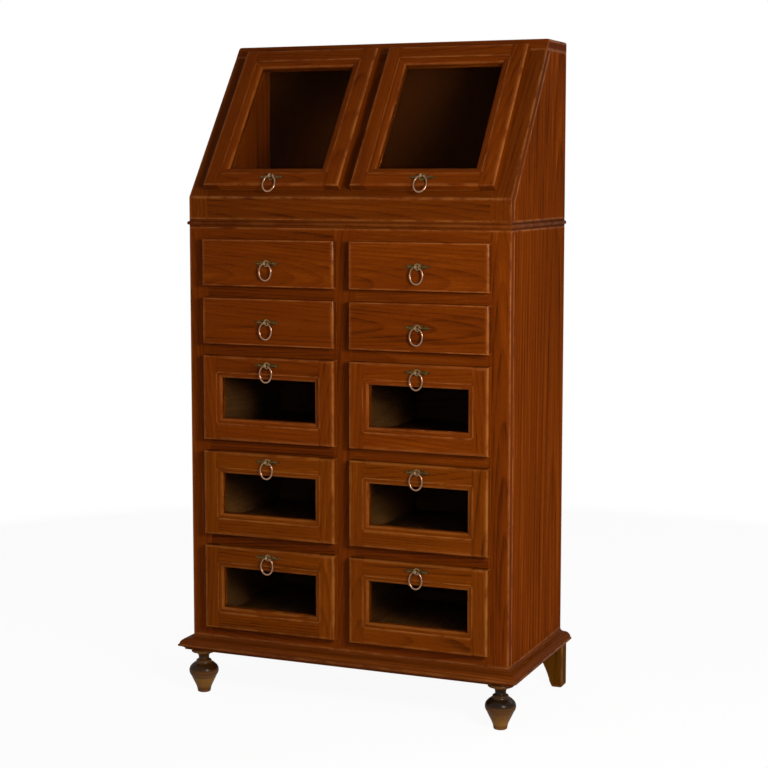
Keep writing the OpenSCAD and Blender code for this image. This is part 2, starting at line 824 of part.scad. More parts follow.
// Outline of a pull plate: a round middle and two pointed leaves with a bud at each tip
module plate_outline() {
    bud_r = plate_h * 0.13;
    leaf_l = plate_w / 2 - bud_r;
    leaf_k = plate_h * 0.3;
    leaf_r = (pow(leaf_l / 2, 2) + pow(leaf_k, 2)) / (2 * leaf_k);
    circle(r = plate_h / 2, $fn = 32);
    for (s = [-1, 1]) {
        intersection_for(t = [-1, 1]) translate([s * leaf_l / 2, t * (leaf_r - leaf_k)])
            circle(r = leaf_r, $fn = 96);
        translate([s * (plate_w / 2 - bud_r), 0]) circle(r = bud_r, $fn = 20);
    }
}

// A pull without its ring: plate, stud, eye and shank, and a round nut behind the front.
// The face that carries it is y = 0, and the middle of the eye is on z = 0.
module pull(t) {
    difference() {
        union() {
            translate([0, -plate_t, 0]) along_y(plate_t) plate_outline();
            rotate([90, 0, 0]) cylinder(r = eye_r * 0.75, h = eye_out, $fn = 24);
            translate([0, -eye_out, 0]) rod(eye_r, eye_w, 32);
            translate([0, t + nut_t + 1, 0]) rotate([90, 0, 0]) cylinder(r = shank_r, h = t + nut_t + 2, $fn = 24);
        }
        translate([0, -eye_out, 0]) rod(eye_bore_r, eye_w + 2, 32);
    }
    difference() {
        translate([0, t + nut_t, 0]) rotate([90, 0, 0]) cylinder(r = nut_r, h = nut_t, $fn = 24);
        translate([0, t + nut_t + 1, 0]) rotate([90, 0, 0]) cylinder(r = shank_r + glue_gap, h = nut_t + 2, $fn = 24);
    }
}

// An oval drop ring hanging from the origin: two half circles joined by straight sides
module ring() {
    translate([0, 0, -ring_b]) for (s = [0, 1]) rotate([0, 180 * s, 0]) {
        translate([0, 0, ring_b - ring_a]) rotate([90, 0, 0])
            rotate_extrude(angle = 180, $fn = 48) translate([ring_a, 0]) circle(r = wire_r, $fn = 16);
        translate([ring_a, 0, ring_a - ring_b]) cylinder(r = wire_r, h = 2 * (ring_b - ring_a), $fn = 16);
    }
}

module drawer_pull(side, row) {
    color(bronze) at_front(side, row) translate([0, -front_t, eye_z(row)]) pull(front_t);
}

module drawer_ring(side, row) {
    color(brass) at_front(side, row) translate([0, -front_t - eye_out, eye_z(row)]) ring();
}

module door_pull(side) {
    color(bronze) at_door(side) translate([0, -door_t, eye_rise - door_h / 2]) pull(door_t);
}

module door_ring(side) {
    color(brass) at_door(side) translate([0, -door_t - eye_out, eye_rise - door_h / 2])
        rotate([door_ring_lean, 0, 0]) ring();
}

base_moulding();
front_feet();
rear_legs();
lower_sides();
lower_face_frame();
centre_partition();
case_bottom();
drawer_runners();
back_panels();
waist_board();
upper_sides();
upper_face_frame();
top_board();
case_hinge_leaves_and_stay_guides();
door(-1);  // left_door
door_glass(-1);  // left_door_glass
door_hinges_and_stay(-1);  // left_door_hinges_and_stay
door_pull(-1);  // left_door_pull
door_ring(-1);  // left_door_ring
door(1);  // right_door
door_glass(1);  // right_door_glass
door_hinges_and_stay(1);  // right_door_hinges_and_stay
door_pull(1);  // right_door_pull
door_ring(1);  // right_door_ring
drawer(-1, 0);  // left_drawer_1
drawer_pull(-1, 0);  // left_drawer_1_pull
drawer_ring(-1, 0);  // left_drawer_1_ring
drawer(-1, 1);  // left_drawer_2
drawer_pull(-1, 1);  // left_drawer_2_pull
drawer_ring(-1, 1);  // left_drawer_2_ring
drawer(-1, 2);  // left_drawer_3
drawer_glass(-1, 2);  // left_drawer_3_glass
drawer_pull(-1, 2);  // left_drawer_3_pull
drawer_ring(-1, 2);  // left_drawer_3_ring
drawer(-1, 3);  // left_drawer_4
drawer_glass(-1, 3);  // left_drawer_4_glass
drawer_pull(-1, 3);  // left_drawer_4_pull
drawer_ring(-1, 3);  // left_drawer_4_ring
drawer(-1, 4);  // left_drawer_5
drawer_glass(-1, 4);  // left_drawer_5_glass
drawer_pull(-1, 4);  // left_drawer_5_pull
drawer_ring(-1, 4);  // left_drawer_5_ring
drawer(1, 0);  // right_drawer_1
drawer_pull(1, 0);  // right_drawer_1_pull
drawer_ring(1, 0);  // right_drawer_1_ring
drawer(1, 1);  // right_drawer_2
drawer_pull(1, 1);  // right_drawer_2_pull
drawer_ring(1, 1);  // right_drawer_2_ring
drawer(1, 2);  // right_drawer_3
drawer_glass(1, 2);  // right_drawer_3_glass
drawer_pull(1, 2);  // right_drawer_3_pull
drawer_ring(1, 2);  // right_drawer_3_ring
drawer(1, 3);  // right_drawer_4
drawer_glass(1, 3);  // right_drawer_4_glass
drawer_pull(1, 3);  // right_drawer_4_pull
drawer_ring(1, 3);  // right_drawer_4_ring
drawer(1, 4);  // right_drawer_5
drawer_glass(1, 4);  // right_drawer_5_glass
drawer_pull(1, 4);  // right_drawer_5_pull
drawer_ring(1, 4);  // right_drawer_5_ring
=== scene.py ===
"""Kitchen hutch with ten drawers and two lift-up glazed doors: its looks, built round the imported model.

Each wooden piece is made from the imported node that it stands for: its arrises are eased, and each of its
boards carries the run of its own grain. Pulls, drop rings and feet are modelled here. Panes, hinges and
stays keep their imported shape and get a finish.
Lengths are in metres where no docstring says millimetres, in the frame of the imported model: +Z up, the front
facing -Y. Angles are written in degrees.
"""

import json
import logging
import math
import random
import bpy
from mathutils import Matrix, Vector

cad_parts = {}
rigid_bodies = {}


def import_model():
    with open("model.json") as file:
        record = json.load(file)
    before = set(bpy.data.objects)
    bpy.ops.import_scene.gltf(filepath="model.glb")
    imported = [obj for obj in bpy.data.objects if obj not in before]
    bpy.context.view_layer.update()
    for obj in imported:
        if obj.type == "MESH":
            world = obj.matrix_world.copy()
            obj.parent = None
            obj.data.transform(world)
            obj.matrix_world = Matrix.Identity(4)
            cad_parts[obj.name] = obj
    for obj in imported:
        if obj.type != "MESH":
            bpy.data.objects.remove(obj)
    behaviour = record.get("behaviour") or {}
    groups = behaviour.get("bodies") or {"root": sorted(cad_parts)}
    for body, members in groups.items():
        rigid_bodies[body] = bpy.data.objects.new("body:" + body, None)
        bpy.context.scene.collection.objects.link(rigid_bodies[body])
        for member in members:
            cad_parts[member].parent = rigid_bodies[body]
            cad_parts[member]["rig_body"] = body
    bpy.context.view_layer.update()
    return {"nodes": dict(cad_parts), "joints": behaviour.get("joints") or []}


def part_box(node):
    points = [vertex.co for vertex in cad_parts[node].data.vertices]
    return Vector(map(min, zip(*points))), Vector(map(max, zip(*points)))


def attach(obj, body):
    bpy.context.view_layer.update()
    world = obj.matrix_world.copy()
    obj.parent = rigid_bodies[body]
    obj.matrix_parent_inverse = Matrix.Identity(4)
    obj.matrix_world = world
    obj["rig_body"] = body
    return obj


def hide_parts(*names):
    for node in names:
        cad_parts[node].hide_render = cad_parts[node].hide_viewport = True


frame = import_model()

import zlib
from collections.abc import Callable, Iterable
from dataclasses import dataclass
from enum import Enum

import bmesh
import bpy
from mathutils import Matrix, Vector
from mathutils.bvhtree import BVHTree

log = logging.getLogger("hutch")

MM = 0.001
SIDES = ("left", "right")
DRAWER_ROWS = range(1, 6)
GLAZED_ROWS = range(3, 6)
GOLDEN_ROWS = range(4, 6)

DOOR_SLOPE = 53.842
DOOR_RING_LEAN = 14.355
FRONT_REACH = 22.3 * MM

Triple = tuple[float, float, float]
Color = tuple[float, float, float, float]
Turning = list[Triple]
Input = float | tuple[float, ...] | bpy.types.NodeSocket

WARM_SHINE = (1.0, 0.72, 0.50, 1)
GREY = (0.2, 0.2, 0.2, 1)
WHITE = (1, 1, 1, 1)


class Fibres(Enum):
    """How the fibres of a board run."""

    LENGTHWISE = "along its longest edge"
    UPRIGHT = "upright"


class Attribute(Enum):
    """The values that the meshes carry for the shaders."""

    GRAIN = "grain"
    # a random tone for each board; on the front feet it also carries painted light and shade
    TONE = "tone"
    WEAR = "wear"
    RECESS = "recess"
    END = "end_grain"


@dataclass(frozen=True)
class WoodFinish:
    """A stained and varnished wood, or a bare one."""

    name: str
    slot: str
    dark: Color
    mid: Color
    light: Color
    # the rubbed colour, and further down its amount, paint pale arrises: wear, and a painted highlight on them
    worn_highlight: Color
    roughness: float = 0.45
    coat: float = 0.02
    coat_roughness: float = 0.17
    coat_edge: float = 0.10
    coat_edge_power: float = 3.0
    coat_ior: float = 1.5
    specular: float = 0.0
    ring_spacing: float = 0.0060
    contrast: float = 1.0
    end_dark: float = 0.6
    wear_highlight_amount: float = 0.46
    bump: float = 0.25
    bump_depth: float = 0.25 * MM


@dataclass(frozen=True)
class MetalFinish:
    """A cast or drawn metal with dark tarnish and rubbed edges."""

    name: str
    slot: str
    clean: Color
    tarnish: Color
    rubbed: Color
    roughness: float = 0.34
    tarnish_amount: float = 0.5
    bump: float = 0.3
    bump_depth: float = 0.3 * MM


@dataclass(frozen=True)
class GlassFinish:
    """A clear pane with a faint ripple, which lets part of the lamps' light through."""

    name: str
    slot: str
    tint: Color
    ior: float = 1.03
    roughness: float = 0.012
    shade: float = 0.55
    shine: Color = WARM_SHINE
    ripple_scale: Triple = (14, 14, 9)
    ripple: float = 0.03
    ripple_depth: float = 1.0 * MM


WALNUT = WoodFinish(
    "Walnut stain", "walnut",
    dark=(0.0500, 0.0085, 0.0006, 1), mid=(0.1250, 0.0215, 0.0009, 1), light=(0.2000, 0.0400, 0.0022, 1),
    worn_highlight=(0.3600, 0.1150, 0.0220, 1),
)
GOLDEN_WALNUT = WoodFinish(
    "Golden walnut stain", "walnut",
    dark=(0.0500, 0.0092, 0.0006, 1), mid=(0.1260, 0.0245, 0.0009, 1), light=(0.2030, 0.0455, 0.0022, 1),
    worn_highlight=(0.3600, 0.1250, 0.0220, 1),
)
SIDE_WALNUT = WoodFinish(
    "Side walnut stain", "walnut",
    dark=(0.0420, 0.0072, 0.0006, 1), mid=(0.1250, 0.0215, 0.0009, 1), light=(0.2300, 0.0460, 0.0024, 1),
    worn_highlight=(0.3600, 0.1150, 0.0220, 1), coat=0.008, ring_spacing=0.0170, contrast=1.15,
)
# a darker copy of the walnut: painted shade on the upper face frame's sloping stiles and front
SHADED_FRAME_WALNUT = WoodFinish(
    "Frame walnut stain, darkened as painted shade", "walnut",
    dark=(0.0360, 0.0070, 0.0006, 1), mid=(0.1020, 0.0185, 0.0009, 1), light=(0.1650, 0.0350, 0.0022, 1),
    worn_highlight=(0.3400, 0.1100, 0.0200, 1),
)
DARK_WALNUT = WoodFinish(
    "Dark walnut stain", "dark_walnut",
    dark=(0.0200, 0.0046, 0.0006, 1), mid=(0.0960, 0.0190, 0.0014, 1), light=(0.1800, 0.0430, 0.0040, 1),
    worn_highlight=(0.3000, 0.0950, 0.0200, 1), coat=0.04, coat_roughness=0.15, contrast=0.9,
)
REAR_WALNUT = WoodFinish(
    "Rear walnut stain", "dark_walnut",
    dark=(0.0200, 0.0070, 0.0006, 1), mid=(0.0760, 0.0240, 0.0010, 1), light=(0.1400, 0.0500, 0.0030, 1),
    worn_highlight=(0.2400, 0.0950, 0.0200, 1), contrast=0.9,
)
WAIST_WALNUT = WoodFinish(
    "Waist walnut stain", "dark_walnut",
    dark=(0.0380, 0.0068, 0.0006, 1), mid=(0.0900, 0.0158, 0.0008, 1), light=(0.1500, 0.0310, 0.0020, 1),
    worn_highlight=(0.1700, 0.0450, 0.0060, 1), coat_edge=0.04, contrast=0.8,
)
TURNED_WALNUT = WoodFinish(
    "Turned walnut", "dark_walnut",
    dark=(0.0090, 0.0038, 0.0011, 1), mid=(0.0820, 0.0270, 0.0030, 1), light=(0.2100, 0.0930, 0.0110, 1),
    worn_highlight=(0.3000, 0.1300, 0.0300, 1), coat=0.22, coat_roughness=0.26, coat_edge=0.1, contrast=0.9,
)
BACK_PANEL = WoodFinish(
    "Back panel stain", "dark_walnut",
    dark=(0.0200, 0.0050, 0.0008, 1), mid=(0.0480, 0.0125, 0.0018, 1), light=(0.0850, 0.0240, 0.0040, 1),
    worn_highlight=(0.1400, 0.0500, 0.0120, 1), roughness=0.6, coat=0.0, coat_edge=0.0, contrast=0.5,
)
BOX_WOOD = WoodFinish(
    "Drawer box wood", "drawer_wood",
    dark=(0.0340, 0.0140, 0.0040, 1), mid=(0.0680, 0.0290, 0.0085, 1), light=(0.1100, 0.0510, 0.0170, 1),
    worn_highlight=(0.1500, 0.0750, 0.0280, 1), roughness=0.62, coat=0.0, coat_edge=0.0,
    ring_spacing=0.0065, contrast=0.8,
)
BRONZE = MetalFinish(
    "Antique bronze", "antique_bronze",
    clean=(0.1150, 0.0560, 0.0130, 1), tarnish=(0.0450, 0.0220, 0.0050, 1),
    rubbed=(0.5200, 0.3600, 0.2000, 1), tarnish_amount=0.60,
)
BRASS = MetalFinish(
    "Antique brass", "antique_brass",
    clean=(0.2500, 0.1280, 0.0720, 1), tarnish=(0.0600, 0.0300, 0.0130, 1),
    rubbed=(0.4300, 0.2400, 0.1500, 1), roughness=0.24, tarnish_amount=0.50,
)
PANE = GlassFinish("Window glass", "window_glass", tint=(0.95, 0.94, 0.91, 1))


class ShaderGraph:
    """Short calls for building one node tree."""

    MIX_FACTOR, MIX_FIRST, MIX_SECOND, MIX_COLOR = 0, 6, 7, 2

    def __init__(self, tree: bpy.types.NodeTree) -> None:
        """Wraps a node tree, emptied first."""
        tree.nodes.clear()
        self.tree = tree

    def node(self, kind: str, inputs: dict | None = None, **settings: object) -> bpy.types.Node:
        """Adds a node.

        Args:
            kind: its type name.
            inputs: socket name or number to a value, or to a socket that feeds it.
            settings: its other properties.

        Returns:
            The new node.
        """
        made = self.tree.nodes.new(kind)
        for key, value in settings.items():
            setattr(made, key, value)
        self.feed(made, inputs or {})
        return made

    def feed(self, node: bpy.types.Node, inputs: dict) -> None:
        """Sets or links a node's inputs.

        Args:
            node: the node.
            inputs: socket name or number to a value, or to a socket that feeds it.
        """
        for key, value in inputs.items():
            if isinstance(value, bpy.types.NodeSocket):
                self.tree.links.new(value, node.inputs[key])
            else:
                node.inputs[key].default_value = value

    def math(self, operation: str, *values: Input, clamp: bool = False) -> bpy.types.NodeSocket:
        """Adds a math node on numbers or sockets, and returns its result."""
        inputs = dict(enumerate(values))
        return self.node("ShaderNodeMath", inputs, operation=operation, use_clamp=clamp).outputs[0]

    def vector(self, operation: str, *values: Input) -> bpy.types.NodeSocket:
        """Adds a vector math node on vectors or sockets, and returns its vector."""
        return self.node("ShaderNodeVectorMath", dict(enumerate(values)), operation=operation).outputs[0]

    def length(self, vector: bpy.types.NodeSocket) -> bpy.types.NodeSocket:
        """Returns the length of a vector."""
        return self.node("ShaderNodeVectorMath", {0: vector}, operation="LENGTH").outputs["Value"]

    def mix(self, factor: Input, first: Input, second: Input) -> bpy.types.NodeSocket:
        """Mixes two colours by a factor, and returns the colour."""
        inputs = {self.MIX_FACTOR: factor, self.MIX_FIRST: first, self.MIX_SECOND: second}
        return self.node("ShaderNodeMix", inputs, data_type="RGBA").outputs[self.MIX_COLOR]

    def noise(
        self, at: bpy.types.NodeSocket, scale: float = 1.0, detail: float = 2.0, roughness: float = 0.5
    ) -> bpy.types.Node:
        """Adds a noise texture on a vector, and returns the node."""
        inputs = {"Vector": at, "Scale": scale, "Detail": detail, "Roughness": roughness}
        return self.node("ShaderNodeTexNoise", inputs)

    def pattern(
        self, at: bpy.types.NodeSocket, scale: Triple, detail: float = 1.0, roughness: float = 0.5
    ) -> bpy.types.NodeSocket:
        """Returns the value of a noise with its own scale along each axis."""
        scaled = self.vector("MULTIPLY", at, scale)
        return self.noise(scaled, detail=detail, roughness=roughness).outputs[0]

    def fade(self, value: Input, start: float, end: float) -> bpy.types.NodeSocket:
        """Returns a smooth rise from 0 at start to 1 at end."""
        inputs = {"Value": value, "From Min": start, "From Max": end}
        return self.node("ShaderNodeMapRange", inputs, interpolation_type="SMOOTHSTEP").outputs["Result"]

    def centred(self, value: bpy.types.NodeSocket) -> bpy.types.NodeSocket:
        """Returns a value of 0 to 1, moved to lie round 0."""
        return self.math("SUBTRACT", value, 0.5)

    def attribute(self, name: Attribute, output: str = "Fac") -> bpy.types.NodeSocket:
        """Reads one of the values that the mesh carries."""
        return self.node("ShaderNodeAttribute", attribute_name=name.value).outputs[output]


def shader_group(
    name: str, inputs: dict[str, float | Color | None], outputs: dict[str, str]
) -> tuple[ShaderGraph, bpy.types.NodeOutputs, bpy.types.Node]:
    """Makes an empty shader node group with named sockets.

    Args:
        name: the group's name.
        inputs: each input's name and its default: a float, a colour, or None for a vector.
        outputs: each output's name and its kind: Float, Color or Vector.

    Returns:
        A ShaderGraph on the group's tree, the values that the group is given, and its output node.
    """
    tree = bpy.data.node_groups.new(name, "ShaderNodeTree")
    graph = ShaderGraph(tree)
    for label, default in inputs.items():
        kind = "Vector" if default is None else "Float" if isinstance(default, float) else "Color"
        socket = tree.interface.new_socket(label, in_out="INPUT", socket_type=f"NodeSocket{kind}")
        if default is not None:
            socket.default_value = default
    for label, kind in outputs.items():
        tree.interface.new_socket(label, in_out="OUTPUT", socket_type=f"NodeSocket{kind}")
    return graph, graph.node("NodeGroupInput").outputs, graph.node("NodeGroupOutput")


@dataclass(frozen=True)
class GrainPattern:
    """Growth rings, fibres, pores and blotches of stain. Scales are per metre: across, across, along."""

    bend_scale: Triple = (5, 5, 0.7)
    bend_reach: Triple = (0.030, 0.030, 0)
    late_wood_power: float = 3.0
    early_wood_end: float = 0.12
    fibre_scale: Triple = (420, 420, 6)
    streak_scale: Triple = (75, 75, 0.9)
    cloud_scale: Triple = (8, 8, 0.9)
    pore_scale: Triple = (1500, 1500, 55)
    pore_from: float = 0.61
    pore_full: float = 0.72
    line_middle: float = 0.30
    line_share: float = 0.26
    fibre_share: float = 0.50
    streak_share: float = 0.95
    cloud_share: float = 0.45
    tone_share: float = 0.10
    pore_stain: float = 0.55
    fibre_roughness: float = 0.22
    pore_roughness: float = 0.18
    fibre_height: float = 0.35
    line_depth: float = 0.12

    def group(self) -> bpy.types.NodeTree:
        """Builds the shader node group.

        Returns:
            A group from grain coordinates in metres to a colour, a roughness change and a height.
        """
        g, given, result = shader_group(
            "Wood grain",
            {
                "Grain": None, "Ring Spacing": WoodFinish.ring_spacing, "Contrast": 1.0, "Tone": 0.0,
                "Dark": GREY, "Mid": GREY, "Light": GREY,
            },
            {"Color": "Color", "Roughness Change": "Float", "Height": "Float"},
        )
        at = given["Grain"]
        bend = g.noise(g.vector("MULTIPLY", at, self.bend_scale)).outputs["Color"]
        bend = g.vector("MULTIPLY", g.vector("SUBTRACT", bend, (0.5, 0.5, 0.5)), self.bend_reach)
        across = g.vector("MULTIPLY", g.vector("ADD", at, bend), (1, 1, 0))
        ring = g.math("FRACT", g.math("DIVIDE", g.length(across), given["Ring Spacing"]))
        late_wood = g.math("POWER", ring, self.late_wood_power)
        early_edge = g.math("SUBTRACT", 1.0, g.fade(ring, 0.0, self.early_wood_end))
        ring_line = g.math("MAXIMUM", late_wood, early_edge)
        fibre = g.pattern(at, self.fibre_scale, 3, 0.65)
        streak = g.pattern(at, self.streak_scale, 3, 0.6)
        cloud = g.pattern(at, self.cloud_scale)
        pore = g.fade(g.pattern(at, self.pore_scale), self.pore_from, self.pore_full)

        value = g.math("MULTIPLY", g.math("SUBTRACT", self.line_middle, ring_line), self.line_share)
        for part, share in (
            (fibre, self.fibre_share), (streak, self.streak_share), (cloud, self.cloud_share),
        ):
            value = g.math("MULTIPLY_ADD", g.centred(part), share, value)
        value = g.math("MULTIPLY_ADD", given["Tone"], self.tone_share, value)
        value = g.math("MULTIPLY_ADD", value, given["Contrast"], 0.5, clamp=True)
        low = g.mix(g.fade(value, 0.0, 0.5), given["Dark"], given["Mid"])
        color = g.mix(g.fade(value, 0.5, 1.0), low, given["Light"])
        color = g.mix(g.math("MULTIPLY", pore, self.pore_stain), color, given["Dark"])
        rough = g.math("MULTIPLY", pore, self.pore_roughness)
        rough = g.math("MULTIPLY_ADD", g.centred(fibre), self.fibre_roughness, rough)
        dip = g.math("MULTIPLY_ADD", ring_line, self.line_depth, pore)
        height = g.math("SUBTRACT", g.math("MULTIPLY", fibre, self.fibre_height), dip)
        g.feed(result, {"Color": color, "Roughness Change": rough, "Height": height})
        return g.tree


@dataclass(frozen=True)
class EdgeWearLightAndShade:
    """Arrises rubbed pale in patches, with a painted highlight on them, and corners darkened in patches:
    painted shade, together with dark wax left there.
    """

    patch_scale: Triple = (34, 34, 22)
    patch_from: float = 0.30
    patch_full: float = 0.62
    edge_power: float = 1.8
    corner_power: float = 1.5
    wax_and_shade_from: float = 0.70
    wax_and_shade_full: float = 0.35
    wax_and_shade_amount: float = 0.75

    def group(self) -> bpy.types.NodeTree:
        """Builds the shader node group.

        Returns:
            A group from a place, colours and the wear and recess masks to a colour.
        """
        g, given, result = shader_group(
            "Rubbed edges, painted highlight and shade",
            {
                "At": None, "Color": GREY, "Rubbed Highlight": GREY, "Shade": GREY,
                "Wear": 0.0, "Recess": 0.0, "Amount": 1.0,
            },
            {"Color": "Color"},
        )
        patch = g.pattern(given["At"], self.patch_scale, 3, 0.6)
        edge = g.math("POWER", given["Wear"], self.edge_power)
        # pale rubbed arrises: wear, together with a painted highlight on the arrises
        rubbed = g.math("MULTIPLY", edge, g.fade(patch, self.patch_from, self.patch_full), clamp=True)
        rubbed = g.math("MULTIPLY", rubbed, given["Amount"], clamp=True)
        # darkened corners: painted shade, together with dark wax left there
        corner = g.math("POWER", given["Recess"], self.corner_power)
        wax_and_shade = g.math("MULTIPLY", corner, g.fade(patch, self.wax_and_shade_from, self.wax_and_shade_full))
        color = g.mix(g.math("MULTIPLY", wax_and_shade, self.wax_and_shade_amount), given["Color"], given["Shade"])
        g.feed(result, {"Color": g.mix(rubbed, color, given["Rubbed Highlight"])})
        return g.tree


@dataclass(frozen=True)
class Tarnish:
    """Clouds of tarnish on metal, thinner where it is rubbed. Scales are per metre."""

    cloud_scale: float = 140
    speck_scale: float = 900
    amount_reach: float = 0.7
    wear_reach: float = 0.30
    cover_from: float = 0.38
    cover_full: float = 0.64
    shine_power: float = 2.0
    shine_from: float = 0.25
    shine_full: float = 0.7
    shine_amount: float = 0.8
    cover_roughness: float = 0.26
    speck_roughness: float = 0.16
    cloud_height: float = 0.7
    speck_height: float = 0.3

    def group(self) -> bpy.types.NodeTree:
        """Builds the shader node group.

        Returns:
            A group from a place, colours and a wear mask to a colour, a roughness and a height.
        """
        g, given, result = shader_group(
            "Tarnish",
            {
                "At": None, "Clean": GREY, "Tarnish": GREY, "Rubbed": GREY,
                "Wear": 0.0, "Amount": 0.5, "Roughness": 0.3,
            },
            {"Color": "Color", "Roughness": "Float", "Height": "Float"},
        )
        cloud = g.noise(given["At"], self.cloud_scale, 4, 0.62).outputs[0]
        speck = g.noise(given["At"], self.speck_scale).outputs[0]
        cover = g.math("ADD", cloud, g.math("MULTIPLY", g.centred(given["Amount"]), self.amount_reach))
        cover = g.math("SUBTRACT", cover, g.math("MULTIPLY", given["Wear"], self.wear_reach))
        cover = g.fade(cover, self.cover_from, self.cover_full)
        color = g.mix(cover, given["Clean"], given["Tarnish"])
        handled = g.math("POWER", given["Wear"], self.shine_power)
        shine = g.math("MULTIPLY", handled, g.fade(speck, self.shine_from, self.shine_full))
        color = g.mix(g.math("MULTIPLY", shine, self.shine_amount), color, given["Rubbed"])
        rough = g.math("MULTIPLY_ADD", cover, self.cover_roughness, given["Roughness"])
        rough = g.math("MULTIPLY_ADD", g.centred(speck), self.speck_roughness, rough, clamp=True)
        height = g.math("MULTIPLY", speck, self.speck_height)
        height = g.math("MULTIPLY_ADD", cloud, self.cloud_height, height)
        g.feed(result, {"Color": color, "Roughness": rough, "Height": height})
        return g.tree


class Finishes:
    """Makes each material once, with the shared groups in it."""

    def __init__(self) -> None:
        """Builds the shared groups."""
        self.grain = GrainPattern().group()
        self.edges = EdgeWearLightAndShade().group()
        self.tarnish = Tarnish().group()
        self.made: dict[str, bpy.types.Material] = {}

    def material(self, finish: WoodFinish | MetalFinish | GlassFinish) -> bpy.types.Material:
        """Returns the material of a finish, made when it is first asked for.

        Args:
            finish: a wood, a metal or a glass.

        Returns:
            The Blender material.
        """
        if finish.name not in self.made:
            made = bpy.data.materials.new(finish.name)
            made.use_nodes = True
            graph = ShaderGraph(made.node_tree)
            if isinstance(finish, WoodFinish):
                shader = self._wood(graph, finish)
            elif isinstance(finish, MetalFinish):
                shader = self._metal(graph, finish)
            else:
                shader = self._glass(graph, finish)
            graph.node("ShaderNodeOutputMaterial", {"Surface": shader.outputs[0]})
            self.made[finish.name] = made
        return self.made[finish.name]

    def _wood(self, g: ShaderGraph, finish: WoodFinish) -> bpy.types.Node:
        """Builds a stained wood.

        Args:
            g: the material's graph.
            finish: its colours and gloss.

        Returns:
            The shader node.
        """
        at = g.attribute(Attribute.GRAIN, "Vector")
        wear = g.attribute(Attribute.WEAR)
        wood = g.node("ShaderNodeGroup", node_tree=self.grain)
        g.feed(wood, {
            "Grain": at, "Ring Spacing": finish.ring_spacing, "Contrast": finish.contrast,
            "Tone": g.attribute(Attribute.TONE),
            "Dark": finish.dark, "Mid": finish.mid, "Light": finish.light,
        })
        ended = g.math("MULTIPLY", g.attribute(Attribute.END), finish.end_dark)
        # pale arrises are wear and a painted highlight; darkened corners are painted shade with dark wax
        edges = g.node("ShaderNodeGroup", node_tree=self.edges)
        g.feed(edges, {
            "At": at, "Color": g.mix(ended, wood.outputs["Color"], finish.dark), "Rubbed Highlight": finish.worn_highlight,
            "Shade": finish.dark, "Wear": wear, "Recess": g.attribute(Attribute.RECESS),
            "Amount": finish.wear_highlight_amount,
        })
        handled = g.math("POWER", wear, finish.coat_edge_power)
        bump = g.node("ShaderNodeBump", {
            "Height": wood.outputs["Height"], "Strength": finish.bump, "Distance": finish.bump_depth,
        })
        return g.node("ShaderNodeBsdfPrincipled", {
            "Base Color": edges.outputs["Color"], "Normal": bump.outputs[0],
            "Roughness": g.math("ADD", wood.outputs["Roughness Change"], finish.roughness, clamp=True),
            "Specular IOR Level": finish.specular, "Specular Tint": WARM_SHINE,
            "Coat Weight": g.math("MULTIPLY_ADD", handled, finish.coat_edge, finish.coat, clamp=True),
            "Coat Roughness": finish.coat_roughness, "Coat IOR": finish.coat_ior,
        })

    def _metal(self, g: ShaderGraph, finish: MetalFinish) -> bpy.types.Node:
        """Builds a tarnished metal.

        Args:
            g: the material's graph.
            finish: its colours and gloss.

        Returns:
            The shader node.
        """
        cloud = g.node("ShaderNodeGroup", node_tree=self.tarnish)
        g.feed(cloud, {
            "At": g.node("ShaderNodeTexCoord").outputs["Object"], "Clean": finish.clean,
            "Tarnish": finish.tarnish, "Rubbed": finish.rubbed, "Wear": g.attribute(Attribute.WEAR),
            "Amount": finish.tarnish_amount, "Roughness": finish.roughness,
        })
        bump = g.node("ShaderNodeBump", {
            "Height": cloud.outputs["Height"], "Strength": finish.bump, "Distance": finish.bump_depth,
        })
        return g.node("ShaderNodeBsdfPrincipled", {
            "Base Color": cloud.outputs["Color"], "Roughness": cloud.outputs["Roughness"],
            "Metallic": 1.0, "Normal": bump.outputs[0],
        })

    def _glass(self, g: ShaderGraph, finish: GlassFinish) -> bpy.types.Node:
        """Builds a clear pane with a faint ripple.

        Args:
            g: the material's graph.
            finish: its tint and index.

        Returns:
            The shader node.
        """
        place = g.node("ShaderNodeTexCoord").outputs["Object"]
        bump = g.node("ShaderNodeBump", {
            "Height": g.pattern(place, finish.ripple_scale), "Strength": finish.ripple,
            "Distance": finish.ripple_depth,
        })
        shadow = g.node("ShaderNodeLightPath").outputs["Is Shadow Ray"]
        return g.node("ShaderNodeBsdfPrincipled", {
            "Base Color": finish.tint, "Roughness": finish.roughness, "IOR": finish.ior,
            "Transmission Weight": 1.0, "Normal": bump.outputs[0],
            "Alpha": g.math("MULTIPLY_ADD", shadow, finish.shade - 1.0, 1.0),
            "Specular Tint": finish.shine,
        })


def seeded(name: str) -> random.Random:
    """Returns random numbers that depend on a name alone."""
    return random.Random(zlib.crc32(name.encode()))


def once(items: Iterable) -> list:
    """Returns things without repeats, in the order in which they come."""
    return list(dict.fromkeys(items))


def forward(direction: Vector) -> Vector:
    """Returns a direction, turned over where its largest component is negative."""
    largest = max(direction, key=abs)
    return direction if largest > 0 else -direction


def reach_of(solid: list[bmesh.types.BMFace]) -> tuple[int, ...]:
    """Measures a solid, so that solids can be put in an order of place.

    Args:
        solid: its faces.

    Returns:
        Its lowest and its highest corner, in hundredths of a millimetre.
    """
    points = [vert.co for face in solid for vert in face.verts]
    corners = [pick(point[axis] for point in points) for pick in (min, max) for axis in range(3)]
    return tuple(round(place / (0.01 * MM)) for place in corners)


def any_edge(edge: bmesh.types.BMEdge) -> bool:
    """Lets every edge join its faces."""
    return True


